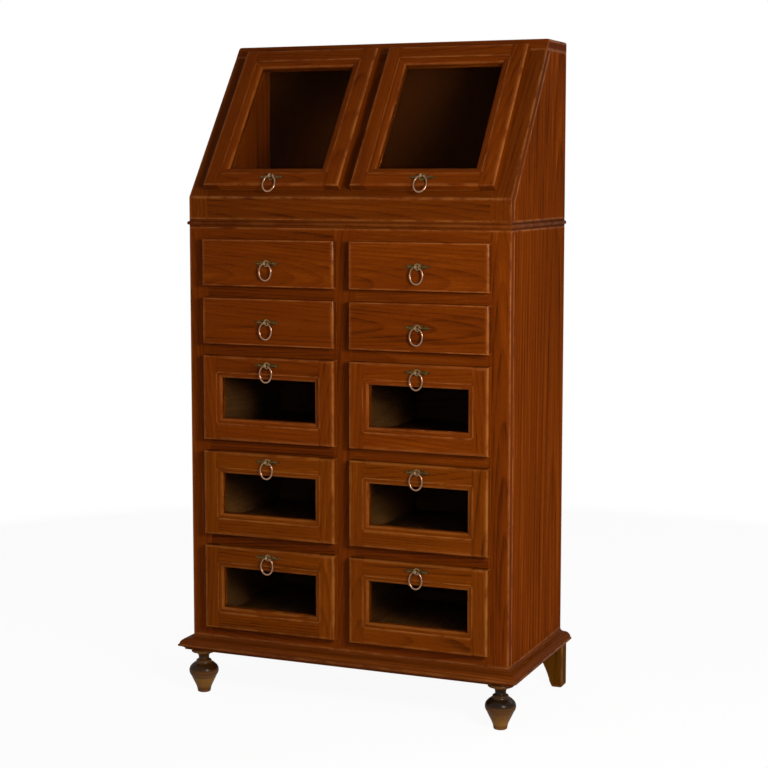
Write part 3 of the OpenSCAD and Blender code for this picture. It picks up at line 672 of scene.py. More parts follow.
def connected(
    faces: list[bmesh.types.BMFace], joins: Callable[[bmesh.types.BMEdge], bool] = any_edge
) -> list[list[bmesh.types.BMFace]]:
    """Splits faces into groups joined through edges.

    Args:
        faces: the faces.
        joins: a test of an edge: whether it holds its faces in one group.

    Returns:
        The groups.
    """
    left, groups = set(faces), []
    for first in faces:
        if first not in left:
            continue
        left.discard(first)
        group, open_faces = [], [first]
        while open_faces:
            face = open_faces.pop()
            group.append(face)
            for edge in face.edges:
                if joins(edge):
                    for other in edge.link_faces:
                        if other in left:
                            left.discard(other)
                            open_faces.append(other)
        groups.append(group)
    return groups


class Surroundings:
    """Tells which corners of a board lie against another board. Inset and lift are in millimetres."""

    REACH = 0.2 * MM
    INSET = 0.6
    LIFT = 0.02
    PROBES = (0.06, 0.28, 0.5, 0.72, 0.94)

    def __init__(self) -> None:
        """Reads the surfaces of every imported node."""
        points, faces = [], []
        for node in frame["nodes"].values():
            first = len(points)
            points += [vert.co.copy() for vert in node.data.vertices]
            faces += [[first + index for index in face.vertices] for face in node.data.polygons]
        self.tree = BVHTree.FromPolygons(points, faces)

    def touch(self, edge: bmesh.types.BMEdge) -> bool:
        """Looks for another board beside a corner.

        Args:
            edge: the corner.

        Returns:
            Whether a face beside the corner lies against another board there.
        """
        for loop in edge.link_loops:
            start, end = loop.vert.co, loop.link_loop_next.vert.co
            normal = loop.face.normal
            inward = normal.cross(end - start).normalized() * self.INSET * MM
            for share in self.PROBES:
                probe = start.lerp(end, share) + inward + normal * self.LIFT * MM
                if self.tree.ray_cast(probe, normal, self.REACH)[0] is not None:
                    return True
        return False


class PieceMesh:
    """Collects the solids of one piece, with the values that its material reads."""

    SHARP = math.radians(35)
    ROUND = math.radians(60)
    BENT = math.radians(5)
    NARROW = 3 * MM
    FLAT = math.radians(0.6)
    TINY = 0.3 * MM * MM
    WELD = 0.002 * MM
    EASE_STEPS = 2
    CURVE_WEAR = 0.7
    BAND_SHARE = 0.28
    LEAST_BAND = 0.4 * MM
    BAND_STEP = 0.6
    AREA_SLACK = 0.0005
    FLIP_SLACK = 1e-10
    SIDEWAYS = 0.3
    LEANING = (0.2, 0.98)
    END_FACING = 0.75
    HEART = ((-0.09, 0.09), (0.03, 0.12), (0, 9))
    LEAN = ((-0.03, 0.03), (0.02, 0.07))

    def __init__(self, name: str) -> None:
        """Starts an empty mesh.

        Args:
            name: the piece's name, which also seeds its grain.
        """
        self.name = name
        self.bm = bmesh.new()
        verts, faces = self.bm.verts.layers, self.bm.faces.layers
        self.grain = verts.float_vector.new(Attribute.GRAIN.value)
        self.tone = verts.float.new(Attribute.TONE.value)
        self.wear = verts.float.new("worn_point")
        self.recess = verts.float.new("deep_point")
        self.end = faces.float.new(Attribute.END.value)
        self.eased = faces.float.new("eased")
        self.plain = faces.int.new("plain")

    def add_node(self, node: str) -> None:
        """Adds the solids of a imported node, with its flat faces whole.

        Args:
            node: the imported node.
        """
        self.bm.from_mesh(frame["nodes"][node].data)
        bmesh.ops.remove_doubles(self.bm, verts=self.bm.verts, dist=self.WELD)
        bmesh.ops.dissolve_limit(
            self.bm, angle_limit=self.FLAT / 2, use_dissolve_boundaries=False,
            verts=self.bm.verts, edges=self.bm.edges, delimit=set(),
        )
        self.face_outward()

    def add_grid(
        self, points: list[list[Vector]], around: bool, along: bool
    ) -> list[list[bmesh.types.BMVert]]:
        """Adds a skin over rows of points.

        Args:
            points: the rows, all of one length.
            around: whether each row closes on itself.
            along: whether the last row joins the first.

        Returns:
            The rows of new points.
        """
        rows = [[self.bm.verts.new(point) for point in row] for row in points]
        width = len(rows[0])
        for i in range(len(rows) if along else len(rows) - 1):
            near, far = rows[i], rows[(i + 1) % len(rows)]
            for j in range(width if around else width - 1):
                k = (j + 1) % width
                self.bm.faces.new((near[j], near[k], far[k], far[j]))
        return rows

    def add_turning(
        self, profile: Turning, base: Matrix, segments: int, closed: bool = False,
        flutes: int = 0, flute_depth: float = 0.0,
    ) -> None:
        """Adds a turned solid.

        Args:
            profile: the radius, the height and the wear of each line round it, from its foot to its head.
            base: the place of its foot, with +Z along its axis.
            segments: how many sides it has.
            closed: whether the profile closes on itself, as round a bore.
            flutes: how many grooves run along it.
            flute_depth: how deep they are, as a share of the radius.
        """
        rows = []
        for radius, height, _ in profile:
            row = []
            for j in range(segments):
                turn = 2 * math.pi * j / segments
                r = radius * (1 - flute_depth * (0.5 - 0.5 * math.cos(flutes * turn)))
                row.append(base @ Vector((r * math.cos(turn), r * math.sin(turn), height)))
            rows.append(row)
        rows = self.add_grid(rows, around=True, along=closed)
        for row, (_, _, wear) in zip(rows, profile):
            for vert in row:
                vert[self.wear] = wear
        if not closed:
            self.close_ends(rows)

    def close_ends(self, rows: list[list[bmesh.types.BMVert]]) -> None:
        """Closes a skin with a face over its first row and over its last."""
        self.bm.faces.new(list(reversed(rows[0])))
        self.bm.faces.new(rows[-1])

    def face_outward(self) -> None:
        """Turns every face to look out of its solid."""
        bmesh.ops.recalc_face_normals(self.bm, faces=self.bm.faces)

    def solids(self) -> list[list[bmesh.types.BMFace]]:
        """Returns the faces of each separate solid."""
        return connected(list(self.bm.faces))

    def ease(self, radius: float, band: float, around: Surroundings) -> None:
        """Rounds every free outside corner, and marks how rubbed each place is, which also places the painted
        highlight on arrises, and how recessed it is, which places painted shade in corners.

        Args:
            radius: the radius of an eased corner.
            band: how far the wear of a corner reaches over the face beside it.
            around: what lies against the corners that stay sharp.
        """
        self._mark_rounded()
        for solid in self.solids():
            edges = once(e for f in solid for e in f.edges)
            corners = [
                e for e in edges
                if len(e.link_faces) == 2 and e.calc_face_angle_signed(0) > self.SHARP and not around.touch(e)
            ]
            if not corners:
                continue
            made = bmesh.ops.bevel(
                self.bm, geom=corners, offset=radius, offset_type="OFFSET", segments=self.EASE_STEPS,
                profile=0.5, affect="EDGES", clamp_overlap=True, loop_slide=True,
            )
            for face in made["faces"]:
                face[self.eased] = 1.0
        if band:
            self._add_bands(band)
        else:
            for face in self.bm.faces:
                face[self.plain] = 1
        self._mark_points()

    def _mark_rounded(self) -> None:
        """Marks the narrow facets of an outside curve as eased."""
        for face in self.bm.faces:
            rim = sum(e.calc_length() for e in face.edges)
            narrow = 2 * face.calc_area() < self.NARROW * rim
            if narrow and any(
                len(e.link_faces) == 2 and self.BENT < e.calc_face_angle_signed(0) < self.SHARP
                for e in face.edges
            ):
                face[self.eased] = self.CURVE_WEAR

    def _is_level(self, edge: bmesh.types.BMEdge) -> bool:
        """Tells whether the two faces of an edge lie in one plane."""
        return len(edge.link_faces) == 2 and edge.calc_face_angle(1) < self.FLAT

    def _add_bands(self, band: float) -> None:
        """Cuts a band inside each flat face, so that its wear, and the painted highlight that goes with it,
        fades away from its corners.

        Args:
            band: the widest band.
        """
        flat = [f for f in self.bm.faces if f[self.eased] == 0]
        for group in connected(flat, self._is_level):
            group = [f for f in group if f[self.eased] == 0]
            inside = set(group)
            area = sum(f.calc_area() for f in group)
            rim = sum(e.calc_length() for f in group for e in f.edges if not inside.issuperset(e.link_faces))
            width = min(band, self.BAND_SHARE * 2 * area / rim) if rim else 0
            while width > self.LEAST_BAND and not self._takes_band(group, area, width):
                width *= self.BAND_STEP
            if width > self.LEAST_BAND:
                bmesh.ops.inset_region(
                    self.bm, faces=group, use_boundary=True, use_even_offset=True, thickness=width, depth=0
                )
            else:
                for face in group:
                    face[self.plain] = 1

    @classmethod
    def _takes_band(cls, group: list[bmesh.types.BMFace], area: float, width: float) -> bool:
        """Tries a band on a copy of a flat region.

        Args:
            group: the region's faces.
            area: their area.
            width: the band's width.

        Returns:
            Whether the band keeps the region's area, with no triangle turned over.
        """
        trial, copies = bmesh.new(), {}
        for face in group:
            for vert in face.verts:
                if vert not in copies:
                    copies[vert] = trial.verts.new(vert.co)
            trial.faces.new([copies[vert] for vert in face.verts])
        trial.normal_update()
        up = group[0].normal.copy()
        bmesh.ops.inset_region(
            trial, faces=list(trial.faces), use_boundary=True, use_even_offset=True, thickness=width, depth=0
        )
        crosses = []
        for loops in trial.calc_loop_triangles():
            first, second, third = (loop.vert.co for loop in loops)
            crosses.append((second - first).cross(third - first))
        sound = abs(sum(cross.length for cross in crosses) / (2 * area) - 1) < cls.AREA_SLACK
        sound = sound and all(cross.dot(up) >= -cls.FLIP_SLACK for cross in crosses)
        trial.free()
        return sound

    def _mark_points(self) -> None:
        """Marks each point's wear and recess from the faces and corners that meet there."""
        for vert in self.bm.verts:
            vert[self.wear] = max((f[self.eased] for f in vert.link_faces), default=0)
            hollow = any(
                len(e.link_faces) == 2 and e.calc_face_angle_signed(0) < -self.SHARP
                for e in vert.link_edges
            )
            vert[self.recess] = 1.0 if hollow else 0.0

    def run_grain(self, fibres: Fibres = Fibres.LENGTHWISE, knee: float | None = None) -> None:
        """Gives each board the run of its own grain, cut from its own place in a log.

        Args:
            fibres: how the fibres run.
            knee: the height at which a leaning board turns upright, if it does.
        """
        chance = seeded(self.name)
        for solid in sorted(self.solids(), key=reach_of):
            edges = once(e for f in solid for e in f.edges)
            longest = max(edges, key=lambda e: e.calc_length())
            along = forward((longest.verts[0].co - longest.verts[1].co).normalized())
            if fibres is Fibres.UPRIGHT:
                along = Vector((0, 0, 1))
            sides = [f for f in solid if abs(f.normal.dot(along)) < self.SIDEWAYS] or solid
            widest = max(sides, key=lambda f: (round(f.calc_area() / (MM * MM)), abs(f.normal.x)))
            through = forward(widest.normal)
            through = (through - along * through.dot(along)).normalized()
            width = along.cross(through)
            heart = Vector([chance.uniform(*span) for span in self.HEART])
            lean = Vector([chance.uniform(*span) for span in self.LEAN] + [1])
            tone = chance.uniform(-1, 1)
            points = once(v for f in solid for v in f.verts)
            middle = sum((v.co for v in points), Vector()) / len(points)
            leaning = knee is not None and self.LEANING[0] < abs(along.z) < self.LEANING[1]
            if leaning:
                middle = Vector((middle.x, min(v.co.y for v in points), knee))
            for vert in points:
                at = vert.co - middle
                run, side, deep = at.dot(along), at.dot(width), at.dot(through)
                if leaning and at.z < 0:
                    run, deep = at.z * math.copysign(1, along.z), at.y * math.copysign(1, through.y)
                vert[self.grain] = heart + lean * run + Vector((side, deep, 0))
                vert[self.tone] += tone
            for face in solid:
                face[self.end] = 1.0 if abs(face.normal.dot(along)) > self.END_FACING else 0.0

    def pick_inner(self, front: float) -> None:
        """Gives the boards behind a plane the second material.

        Args:
            front: the plane's place from front to back.
        """
        for solid in self.solids():
            if min(v.co.y for f in solid for v in f.verts) > front:
                for face in solid:
                    face.material_index = 1

    def _is_rubbed(self, loop: bmesh.types.BMLoop) -> bool:
        """Tells whether a face's corner belongs to an eased face, or lies on an edge of one."""
        beside = (loop.edge, loop.link_loop_prev.edge)
        return bool(loop.face[self.eased]) or any(f[self.eased] for edge in beside for f in edge.link_faces)

    def finish(self, *materials: bpy.types.Material) -> bpy.types.Object:
        """Writes the mesh to a new object.

        Args:
            materials: the object's materials.

        Returns:
            The object, in the scene.
        """
        for edge in self.bm.edges:
            flat = sum(1 for f in edge.link_faces if f[self.eased] == 0)
            limit = (self.ROUND, self.FLAT, self.SHARP)[min(flat, 2)]
            whole = all(f.calc_area() > self.TINY for f in edge.link_faces)
            edge.smooth = whole and len(edge.link_faces) == 2 and edge.calc_face_angle(math.pi) < limit
        wear = self.bm.loops.layers.float.new(Attribute.WEAR.value)
        recess = self.bm.loops.layers.float.new(Attribute.RECESS.value)
        has_eased = any(face[self.eased] for face in self.bm.faces)
        for face in self.bm.faces:
            face.smooth = True
            for loop in face.loops:
                rubbed = not has_eased or self._is_rubbed(loop)
                loop[wear] = loop.vert[self.wear] if rubbed and not face[self.plain] else 0.0
                loop[recess] = 0.0 if face[self.plain] else loop.vert[self.recess]
        mesh = bpy.data.meshes.new(self.name)
        self.bm.to_mesh(mesh)
        self.bm.free()
        for spare in ("worn_point", "deep_point", "eased", "plain"):
            mesh.attributes.remove(mesh.attributes[spare])
        for material in materials:
            mesh.materials.append(material)
        made = bpy.data.objects.new(self.name, mesh)
        bpy.context.scene.collection.objects.link(made)
        return made


def body_of(node: str) -> str:
    """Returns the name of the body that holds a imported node."""
    return frame["nodes"][node]["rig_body"]


def stand_for(piece: bpy.types.Object, node: str) -> None:
    """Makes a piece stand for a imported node, on the node's body.

    Args:
        piece: the new piece.
        node: the node that it replaces.
    """
    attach(piece, body_of(node))
    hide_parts(node)
    log.info("%s stands for %s: %d faces", piece.name, node, len(piece.data.polygons))


def arc(
    centre: tuple[float, float], radius: float, start: float, end: float, steps: int, wear: float = 0.0
) -> Turning:
    """Makes a part of a turned profile.

    Args:
        centre: its centre, as a radius and a height in millimetres.
        radius: its radius in millimetres.
        start: the angle of its first point in degrees, from straight out.
        end: the angle of its last point.
        steps: how many steps it takes.
        wear: how worn it is.

    Returns:
        Its points, in metres.
    """
    turns = [math.radians(start + (end - start) * i / steps) for i in range(steps + 1)]
    points = [(centre[0] + radius * math.cos(turn), centre[1] + radius * math.sin(turn)) for turn in turns]
    return line(*points, wear=wear)


def line(*points: tuple[float, float], wear: float = 0.0) -> Turning:
    """Makes a straight part of a turned profile from points in millimetres."""
    return [(radius * MM, height * MM, wear) for radius, height in points]


@dataclass
class Timber:
    """One wooden node, made again with eased corners and a grain for each of its boards."""

    node: str
    finish: WoodFinish
    arris: float = 1.0 * MM
    band: float = 6 * MM
    fibres: Fibres = Fibres.LENGTHWISE
    inner: WoodFinish | None = None
    inner_from: float = 0.0
    knee: float | None = None

    def build(self, finishes: Finishes, around: Surroundings) -> None:
        """Builds the piece.

        Args:
            finishes: the materials.
            around: the boards that it may lie against.
        """
        mesh = PieceMesh(f"{self.node}_timber")
        mesh.add_node(self.node)
        mesh.ease(self.arris, self.band, around)
        mesh.run_grain(self.fibres, self.knee)
        materials = [finishes.material(self.finish)]
        if self.inner:
            mesh.pick_inner(self.inner_from)
            materials.append(finishes.material(self.inner))
        stand_for(mesh.finish(*materials), self.node)


@dataclass
class FrontFeet:
    """The two turned front feet: tapered end, bulb, bead, neck, flared collar and tenon. Millimetres.

    The taper's points are given as how far they stand out from the end and up from the floor, and the
    shoulder's as how far they stand out from the end and up from the middle of the bulb.
    """

    centre_x: float = 379.0
    centre_y: float = -172.85
    height: float = 106.0
    tenon_height: float = 24.0
    end_r: float = 16.0
    taper: tuple[tuple[float, float], ...] = (
        (0.9, 9), (2.2, 13.5), (4.2, 18), (6.6, 23), (9.8, 29.6), (13.1, 36.6),
    )
    shoulder: tuple[tuple[float, float], ...] = ((12.6, 14.0), (8.6, 17.4))
    bulb_r: float = 35.5
    bulb_round: float = 17.5
    neck_r: float = 12.5
    bead_round: float = 2.6
    bead_above: float = 6.0
    flare_round: float = 14.0
    collar_r: float = 29.5
    collar_height: float = 7.0
    tenon_r: float = 9.0
    sides: int = 80
    # painted light and shade on the foot: an amber tone on the taper, a dark tone on the bulb above it
    painted_light_tone: float = 3.2
    painted_shade_tone: float = -3.6
    collar_tone: float = 0.5
    painted_light_top: float = 8.0
    painted_light_fade: float = 22.0
    sole_share: float = 0.35
    sole_fade: float = 20.0
    collar_reach: float = 14.0

    def profile(self) -> Turning:
        """Draws the turned profile.

        Returns:
            Its lines, from the floor up.
        """
        bulb_z = self.height / 2
        bead_z = bulb_z + self.bulb_round + self.bead_above
        collar_z = self.height - self.collar_height
        belly = (self.bulb_r - self.bulb_round, bulb_z)
        neck = (self.neck_r + self.flare_round, collar_z - self.flare_round)
        return (
            line((self.end_r - 2.5, 0))
            + arc((self.end_r - 2.6, 2.4), 2.3, -80, 0, 5, wear=0.8)
            + line(*((self.end_r + out, up) for out, up in self.taper))
            + arc(belly, self.bulb_round, -38, -8, 8)
            + arc(belly, self.bulb_round, -5, 5, 3, wear=0.35)
            + arc(belly, self.bulb_round, 10, 36, 7)
            + line(*((self.end_r + out, bulb_z + up) for out, up in self.shoulder))
            + arc((self.neck_r + self.bead_round + 0.8, bead_z), self.bead_round, -40, 110, 9, wear=0.6)
            + arc(neck, self.flare_round, 190, 92, 12)
            + line((self.collar_r - 1.4, collar_z + 0.1))
            + arc((self.collar_r - 1.5, collar_z + 1.5), 1.5, -80, 0, 4, wear=0.8)
            + line((self.collar_r, self.height), (self.tenon_r, self.height))
            + line((self.tenon_r, self.height + self.tenon_height))
        )

    def painted_shading_at(self, height: float) -> float:
        """Gives the tone that paints light and shade on the foot: painted light, amber, on the taper, painted
        shade, dark, on the bulb above it, darker again towards the floor, plain on the collar.

        Args:
            height: the height above the floor.

        Returns:
            The tone that the grain adds to its own.
        """
        if height >= self.height - self.collar_reach:
            return self.collar_tone
        share = min(max((self.height / 2 + self.painted_light_top - height) / self.painted_light_fade, 0), 1)
        share *= min(1, self.sole_share + height / self.sole_fade)
        return self.painted_shade_tone + (self.painted_light_tone - self.painted_shade_tone) * share

    def build(self, finishes: Finishes) -> None:
        """Builds both feet as one piece.

        Args:
            finishes: the materials.
        """
        mesh = PieceMesh("front_feet_turned")
        for side in (-1, 1):
            base = Matrix.Translation(Vector((side * self.centre_x, self.centre_y, 0)) * MM)
            mesh.add_turning(self.profile(), base, segments=self.sides)
        # paints light and shade on the feet through their tone
        for vert in mesh.bm.verts:
            vert[mesh.tone] = self.painted_shading_at(vert.co.z / MM)
        mesh.run_grain(Fibres.UPRIGHT)
        for face in mesh.bm.faces:
            face[mesh.end] = 0.0
        stand_for(mesh.finish(finishes.material(TURNED_WALNUT)), "front_feet")


@dataclass
class Pull:
    """A cast pull: a plate with two veined wings, a bored eye, a shank and a knurled nut. Millimetres."""

    node: str
    base: Matrix
    width: float = 64.0
    height: float = 18.0
    thickness: float = 2.0
    columns: int = 108
    across: int = 14
    bud_share: float = 0.13
    leaf_share: float = 0.3
    boss_edge: float = 1.6
    boss_t: float = 0.7
    boss_rise: float = 1.1
    petals: int = 8
    petal_rise: float = 0.15
    rim_t: float = 0.55
    dome_rise: float = 0.75
    vein_rise: float = 0.40
    vein_half: float = 0.55
    rib_rise: float = 0.14
    rib_step: float = 3.1
    rib_slant: float = 4.2
    tip_t: float = 0.4
    rubbed_from: float = 1.35
    rubbed_over: float = 0.6
    post_foot: tuple[tuple[float, float], ...] = ((5.2, 1.2), (4.6, 1.9))
    post_neck: tuple[tuple[float, float], ...] = ((3.6, 2.3), (3.3, 2.7))
    post_r: float = 3.6
    eye_out: float = 7.0
    eye_r: float = 5.0
    eye_w: float = 6.0
    bore_r: float = 2.85
    shank_r: float = 2.0
    nut_r: float = 5.0
    nut_t: float = 4.0
    knurls: int = 24
    front_t: float = 22.0
    threads: int = 8
    thread_depth: float = 0.25

    def half_height(self, along: float) -> float:
        """Draws the outline of the plate: a disc, two leaves and a bud at each tip.

        Args:
            along: the distance from its middle.

        Returns:
            Half its height there.
        """
        bud_r = self.height * self.bud_share
        leaf_l = self.width / 2 - bud_r
        leaf_k = self.height * self.leaf_share
        leaf_r = ((leaf_l / 2) ** 2 + leaf_k ** 2) / (2 * leaf_k)
        disc = math.sqrt(max(0.0, (self.height / 2) ** 2 - along ** 2))
        leaf = math.sqrt(max(0.0, leaf_r ** 2 - (along - leaf_l / 2) ** 2)) - (leaf_r - leaf_k)
        bud = math.sqrt(max(0.0, bud_r ** 2 - (along - leaf_l) ** 2))
        return max(disc, leaf, bud, 0.02)

    def rise(self, along: float, up: float, half: float) -> float:
        """Models the cast face of the plate: a petalled boss, domed wings, a vein and slanting ribs.

        Args:
            along: the distance from its middle.
            up: the place above or below its middle line.
            half: half its height there.

        Returns:
            How far the face stands out.
        """
        boss_r, reach = self.height / 2, math.hypot(along, up)
        if reach < boss_r:
            step = min(1.0, (boss_r - reach) / self.boss_edge)
            petal = self.petal_rise * math.cos(self.petals * math.atan2(up, along)) * (1 - step)
            return min(self.thickness, self.boss_t + self.boss_rise * step ** 0.6 + petal)
        share = min(abs(up) / half, 1.0)
        dome = self.rim_t + self.dome_rise * math.sqrt(1 - share ** 2)
        vein = self.vein_rise * math.exp(-((up / self.vein_half) ** 2))
        slant = 2 * math.pi * (along / self.rib_step - abs(up) / self.rib_slant)
        rib = self.rib_rise * math.cos(slant) * min(1.0, abs(up))
        return min(self.thickness, dome + (vein + rib) * min(1.0, (self.width / 2 - 4 - along) / 2))

    def add_plate(self, mesh: PieceMesh) -> None:
        """Adds the cast plate.

        Args:
            mesh: the mesh that it joins.
        """
        face_rows = []
        for i in range(self.columns + 1):
            along = self.width * (i / self.columns - 0.5)
            half = self.half_height(abs(along))
            row = []
            for j in range(self.across + 1):
                up = half * math.sin(math.pi / 2 * (2 * j / self.across - 1))
                out = self.rise(abs(along), up, half) if abs(along) < self.width / 2 else self.tip_t
                row.append(self.base @ (Vector((along, -out, up)) * MM))
            back = [self.base @ (Vector((along, 0, half * side)) * MM) for side in (1, -1)]
            face_rows.append(row + back)
        rows = mesh.add_grid(face_rows, around=True, along=False)
        mesh.close_ends(rows)
        for vert in (vert for row in rows for vert in row[:-2]):
            out = -(self.base.inverted() @ vert.co).y / MM
            vert[mesh.wear] = min(1.0, max(0.0, (out - self.rubbed_from) / self.rubbed_over))

    def add_eye(self, mesh: PieceMesh) -> None:
        """Adds the post and the bored eye on it.

        Args:
            mesh: the mesh that they join.
        """
        outward = self.base @ Matrix.Rotation(math.radians(90), 4, "X")
        post_end = self.eye_out - (self.eye_r + self.bore_r) / 2
        post = line(*self.post_foot, wear=0.2) + line(*self.post_neck, (self.post_r, post_end))
        mesh.add_turning(post, outward, segments=32)
        half, rim = self.eye_w / 2, (self.eye_r - self.bore_r) / 2
        ring = [
            (self.bore_r, 0), (self.bore_r, -half + 0.8), (self.bore_r + 0.3, -half + 0.15),
            (self.bore_r + rim, -half), (self.eye_r - 0.35, -half + 0.2), (self.eye_r - 0.05, -half + 0.9),
            (self.eye_r, 0), (self.eye_r - 0.05, half - 0.9), (self.eye_r - 0.35, half - 0.2),
            (self.bore_r + rim, half), (self.bore_r + 0.3, half - 0.15), (self.bore_r, half - 0.8),
        ]
        # the eye's outer rim is marked well rubbed and takes the pale rubbed colour: wear, and a painted
        # highlight on the eye
        eye = [(r * MM, h * MM, 0.9 if r > self.eye_r - 0.5 else 0.2) for r, h in ring]
        place = self.base @ Matrix.Translation((0, -self.eye_out * MM, 0))
        place = place @ Matrix.Rotation(math.radians(90), 4, "Y")
        mesh.add_turning(eye, place, segments=40, closed=True)

    def add_shank(self, mesh: PieceMesh) -> None:
        """Adds the threaded shank and the knurled nut behind the front.

        Args:
            mesh: the mesh that they join.
        """
        inward = self.base @ Matrix.Rotation(math.radians(-90), 4, "X")
        foot, head = self.front_t, self.front_t + self.nut_t
        thread = line((self.shank_r, 0), (self.shank_r, foot - 4))
        for i in range(self.threads):
            z = foot - 3.5 + i
            thread += line((self.shank_r - self.thread_depth, z), (self.shank_r, z + 0.5))
        thread += line((self.shank_r - 0.4, head + 1))
        mesh.add_turning(thread, inward, segments=24)
        nut = line((self.shank_r + 0.1, foot), (self.nut_r - 0.4, foot))
        nut += line((self.nut_r, foot + 0.5), (self.nut_r, head - 0.5), wear=0.5)
        nut += line((self.nut_r - 0.4, head), (self.shank_r + 0.5, head), (self.shank_r + 0.1, head - 0.4))
        mesh.add_turning(nut, inward, segments=96, closed=True, flutes=self.knurls, flute_depth=0.05)

    def build(self, finishes: Finishes) -> None:
        """Builds the pull.

        Args:
            finishes: the materials.
        """
        mesh = PieceMesh(f"{self.node}_cast")
        self.add_plate(mesh)
        self.add_eye(mesh)
        self.add_shank(mesh)
        mesh.face_outward()
        stand_for(mesh.finish(finishes.material(BRONZE)), self.node)


@dataclass
class DropRing:
    """An oval drop ring of drawn wire, thinner where it hangs in its eye. Millimetres."""

    node: str
    top: Matrix
    width: float = 35.0
    height: float = 43.5
    wire_r: float = 2.25
    thin: float = 0.16
    uneven: float = 0.02
    steps: int = 112
    sides: int = 20
    least_wear: float = 0.25
    low_wear: float = 0.6

    def build(self, finishes: Finishes) -> None:
        """Builds the ring.

        Args:
            finishes: the materials.
        """
        mesh = PieceMesh(f"{self.node}_wire")
        half_w, half_h = self.width / 2 - self.wire_r, self.height / 2 - self.wire_r
        phase = seeded(self.node).uniform(0, 2 * math.pi)
        bends = [2 * math.pi * k / self.sides for k in range(self.sides)]
        turns = [2 * math.pi * i / self.steps for i in range(self.steps)]
        rows = []
        for turn in turns:
            at = Vector((half_w * math.sin(turn), 0, half_h * math.cos(turn) - half_h))
            run = Vector((half_w * math.cos(turn), 0, -half_h * math.sin(turn))).normalized()
            out = Vector((-run.z, 0, run.x))
            near_eye = (0.5 + 0.5 * math.cos(turn)) ** 3
            waviness = self.uneven * (1 + math.sin(5 * turn + phase))
            radius = self.wire_r * (1 - self.thin * near_eye - waviness)
            rows.append([
                self.top @ ((
                    at + out * radius * math.cos(bend) + Vector((0, 1, 0)) * radius * math.sin(bend)
                ) * MM)
                for bend in bends
            ])
        for turn, row in zip(turns, mesh.add_grid(rows, around=True, along=True)):
            low = 0.5 - 0.5 * math.cos(turn)
            for bend, vert in zip(bends, row):
                vert[mesh.wear] = self.least_wear + self.low_wear * low * (0.6 + 0.4 * math.cos(bend))
        mesh.face_outward()
        stand_for(mesh.finish(finishes.material(BRASS)), self.node)


@dataclass(frozen=True)
class Lamp:
    """A square soft lamp, its power in watts."""

    name: str
    place: Triple
    size: float
    power: float
    aim: Triple = (0, 0, 0.8)

    def build(self) -> None:
        """Hangs the lamp in the scene, pointed at its aim."""
        data = bpy.data.lights.new(self.name, "AREA")
        data.size = self.size
        data.energy = self.power
        lamp = bpy.data.objects.new(self.name, data)
        lamp.location = self.place
        lamp.rotation_euler = (Vector(self.aim) - Vector(self.place)).to_track_quat("-Z", "Y").to_euler()
        bpy.context.scene.collection.objects.link(lamp)


@dataclass
class Studio:
    """A pale floor, soft lamps and a plain world."""

    floor_radius: float = 14.0
    floor_sides: int = 96
    floor_color: Color = (0.94, 0.935, 0.925, 1)
    floor_glow: float = 0.94
    fade_near: float = 1.1
    fade_far: float = 2.6
    fill: float = 0.33
    lamps: tuple[Lamp, ...] = (
        Lamp("Key", (1.80, -1.62, 1.38), 0.6, 54),
        Lamp("Fill", (-2.6, -2.4, 1.6), 1.8, 5),
        Lamp("Rim", (1.8, 2.4, 2.2), 1.4, 12),
    )

    def build(self) -> None:
        """Builds the floor, the world and the lamps."""
        self._floor()
        self._world()
        for lamp in self.lamps:
            lamp.build()
        log.info("studio built")

    def _floor(self) -> None:
        """Makes a round pale floor that fades into the background far out."""
        mesh = bmesh.new()
        bmesh.ops.create_circle(mesh, cap_ends=True, segments=self.floor_sides, radius=self.floor_radius)
        data = bpy.data.meshes.new("floor")
        mesh.to_mesh(data)
        mesh.free()
        floor = bpy.data.objects.new("floor", data)
        bpy.context.scene.collection.objects.link(floor)
        made = bpy.data.materials.new("Pale floor")
        made.use_nodes = True
        g = ShaderGraph(made.node_tree)
        reach = g.length(g.node("ShaderNodeTexCoord").outputs["Object"])
        far = g.math("MAXIMUM", g.fade(reach, self.fade_near, self.fade_far), self.floor_glow)
        far = g.math("MULTIPLY", far, self._seen(g))
        diffuse = g.node("ShaderNodeBsdfDiffuse", {"Color": self.floor_color})
        white = g.node("ShaderNodeEmission", {"Color": WHITE, "Strength": 1.0})
        mixed = g.node("ShaderNodeMixShader", {0: far, 1: diffuse.outputs[0], 2: white.outputs[0]})
        g.node("ShaderNodeOutputMaterial", {"Surface": mixed.outputs[0]})
        data.materials.append(made)

    @staticmethod
    def _seen(g: ShaderGraph) -> bpy.types.NodeSocket:
        """Marks the rays that show the background itself, straight, mirrored or through glass.

        Args:
            g: the graph of the floor or of the world.

        Returns:
            1 for such a ray, and 0 for one that lights a surface.
        """
        rays = g.node("ShaderNodeLightPath").outputs
        seen = g.math("MAXIMUM", rays["Is Camera Ray"], rays["Is Glossy Ray"])
        seen = g.math("MAXIMUM", seen, rays["Is Transmission Ray"])
        unlit = g.math("LESS_THAN", rays["Diffuse Depth"], 0.5)
        return g.math("MULTIPLY", seen, unlit)

    def _world(self) -> None:
        """Makes a white background that lights the object only gently."""
        world = bpy.data.worlds.new("Studio")
        bpy.context.scene.world = world
        world.use_nodes = True
        g = ShaderGraph(world.node_tree)
        strength = g.math("MULTIPLY_ADD", self._seen(g), 1.0 - self.fill, self.fill)
        back = g.node("ShaderNodeBackground", {"Color": WHITE, "Strength": strength})
        g.node("ShaderNodeOutputWorld", {"Surface": back.outputs[0]})


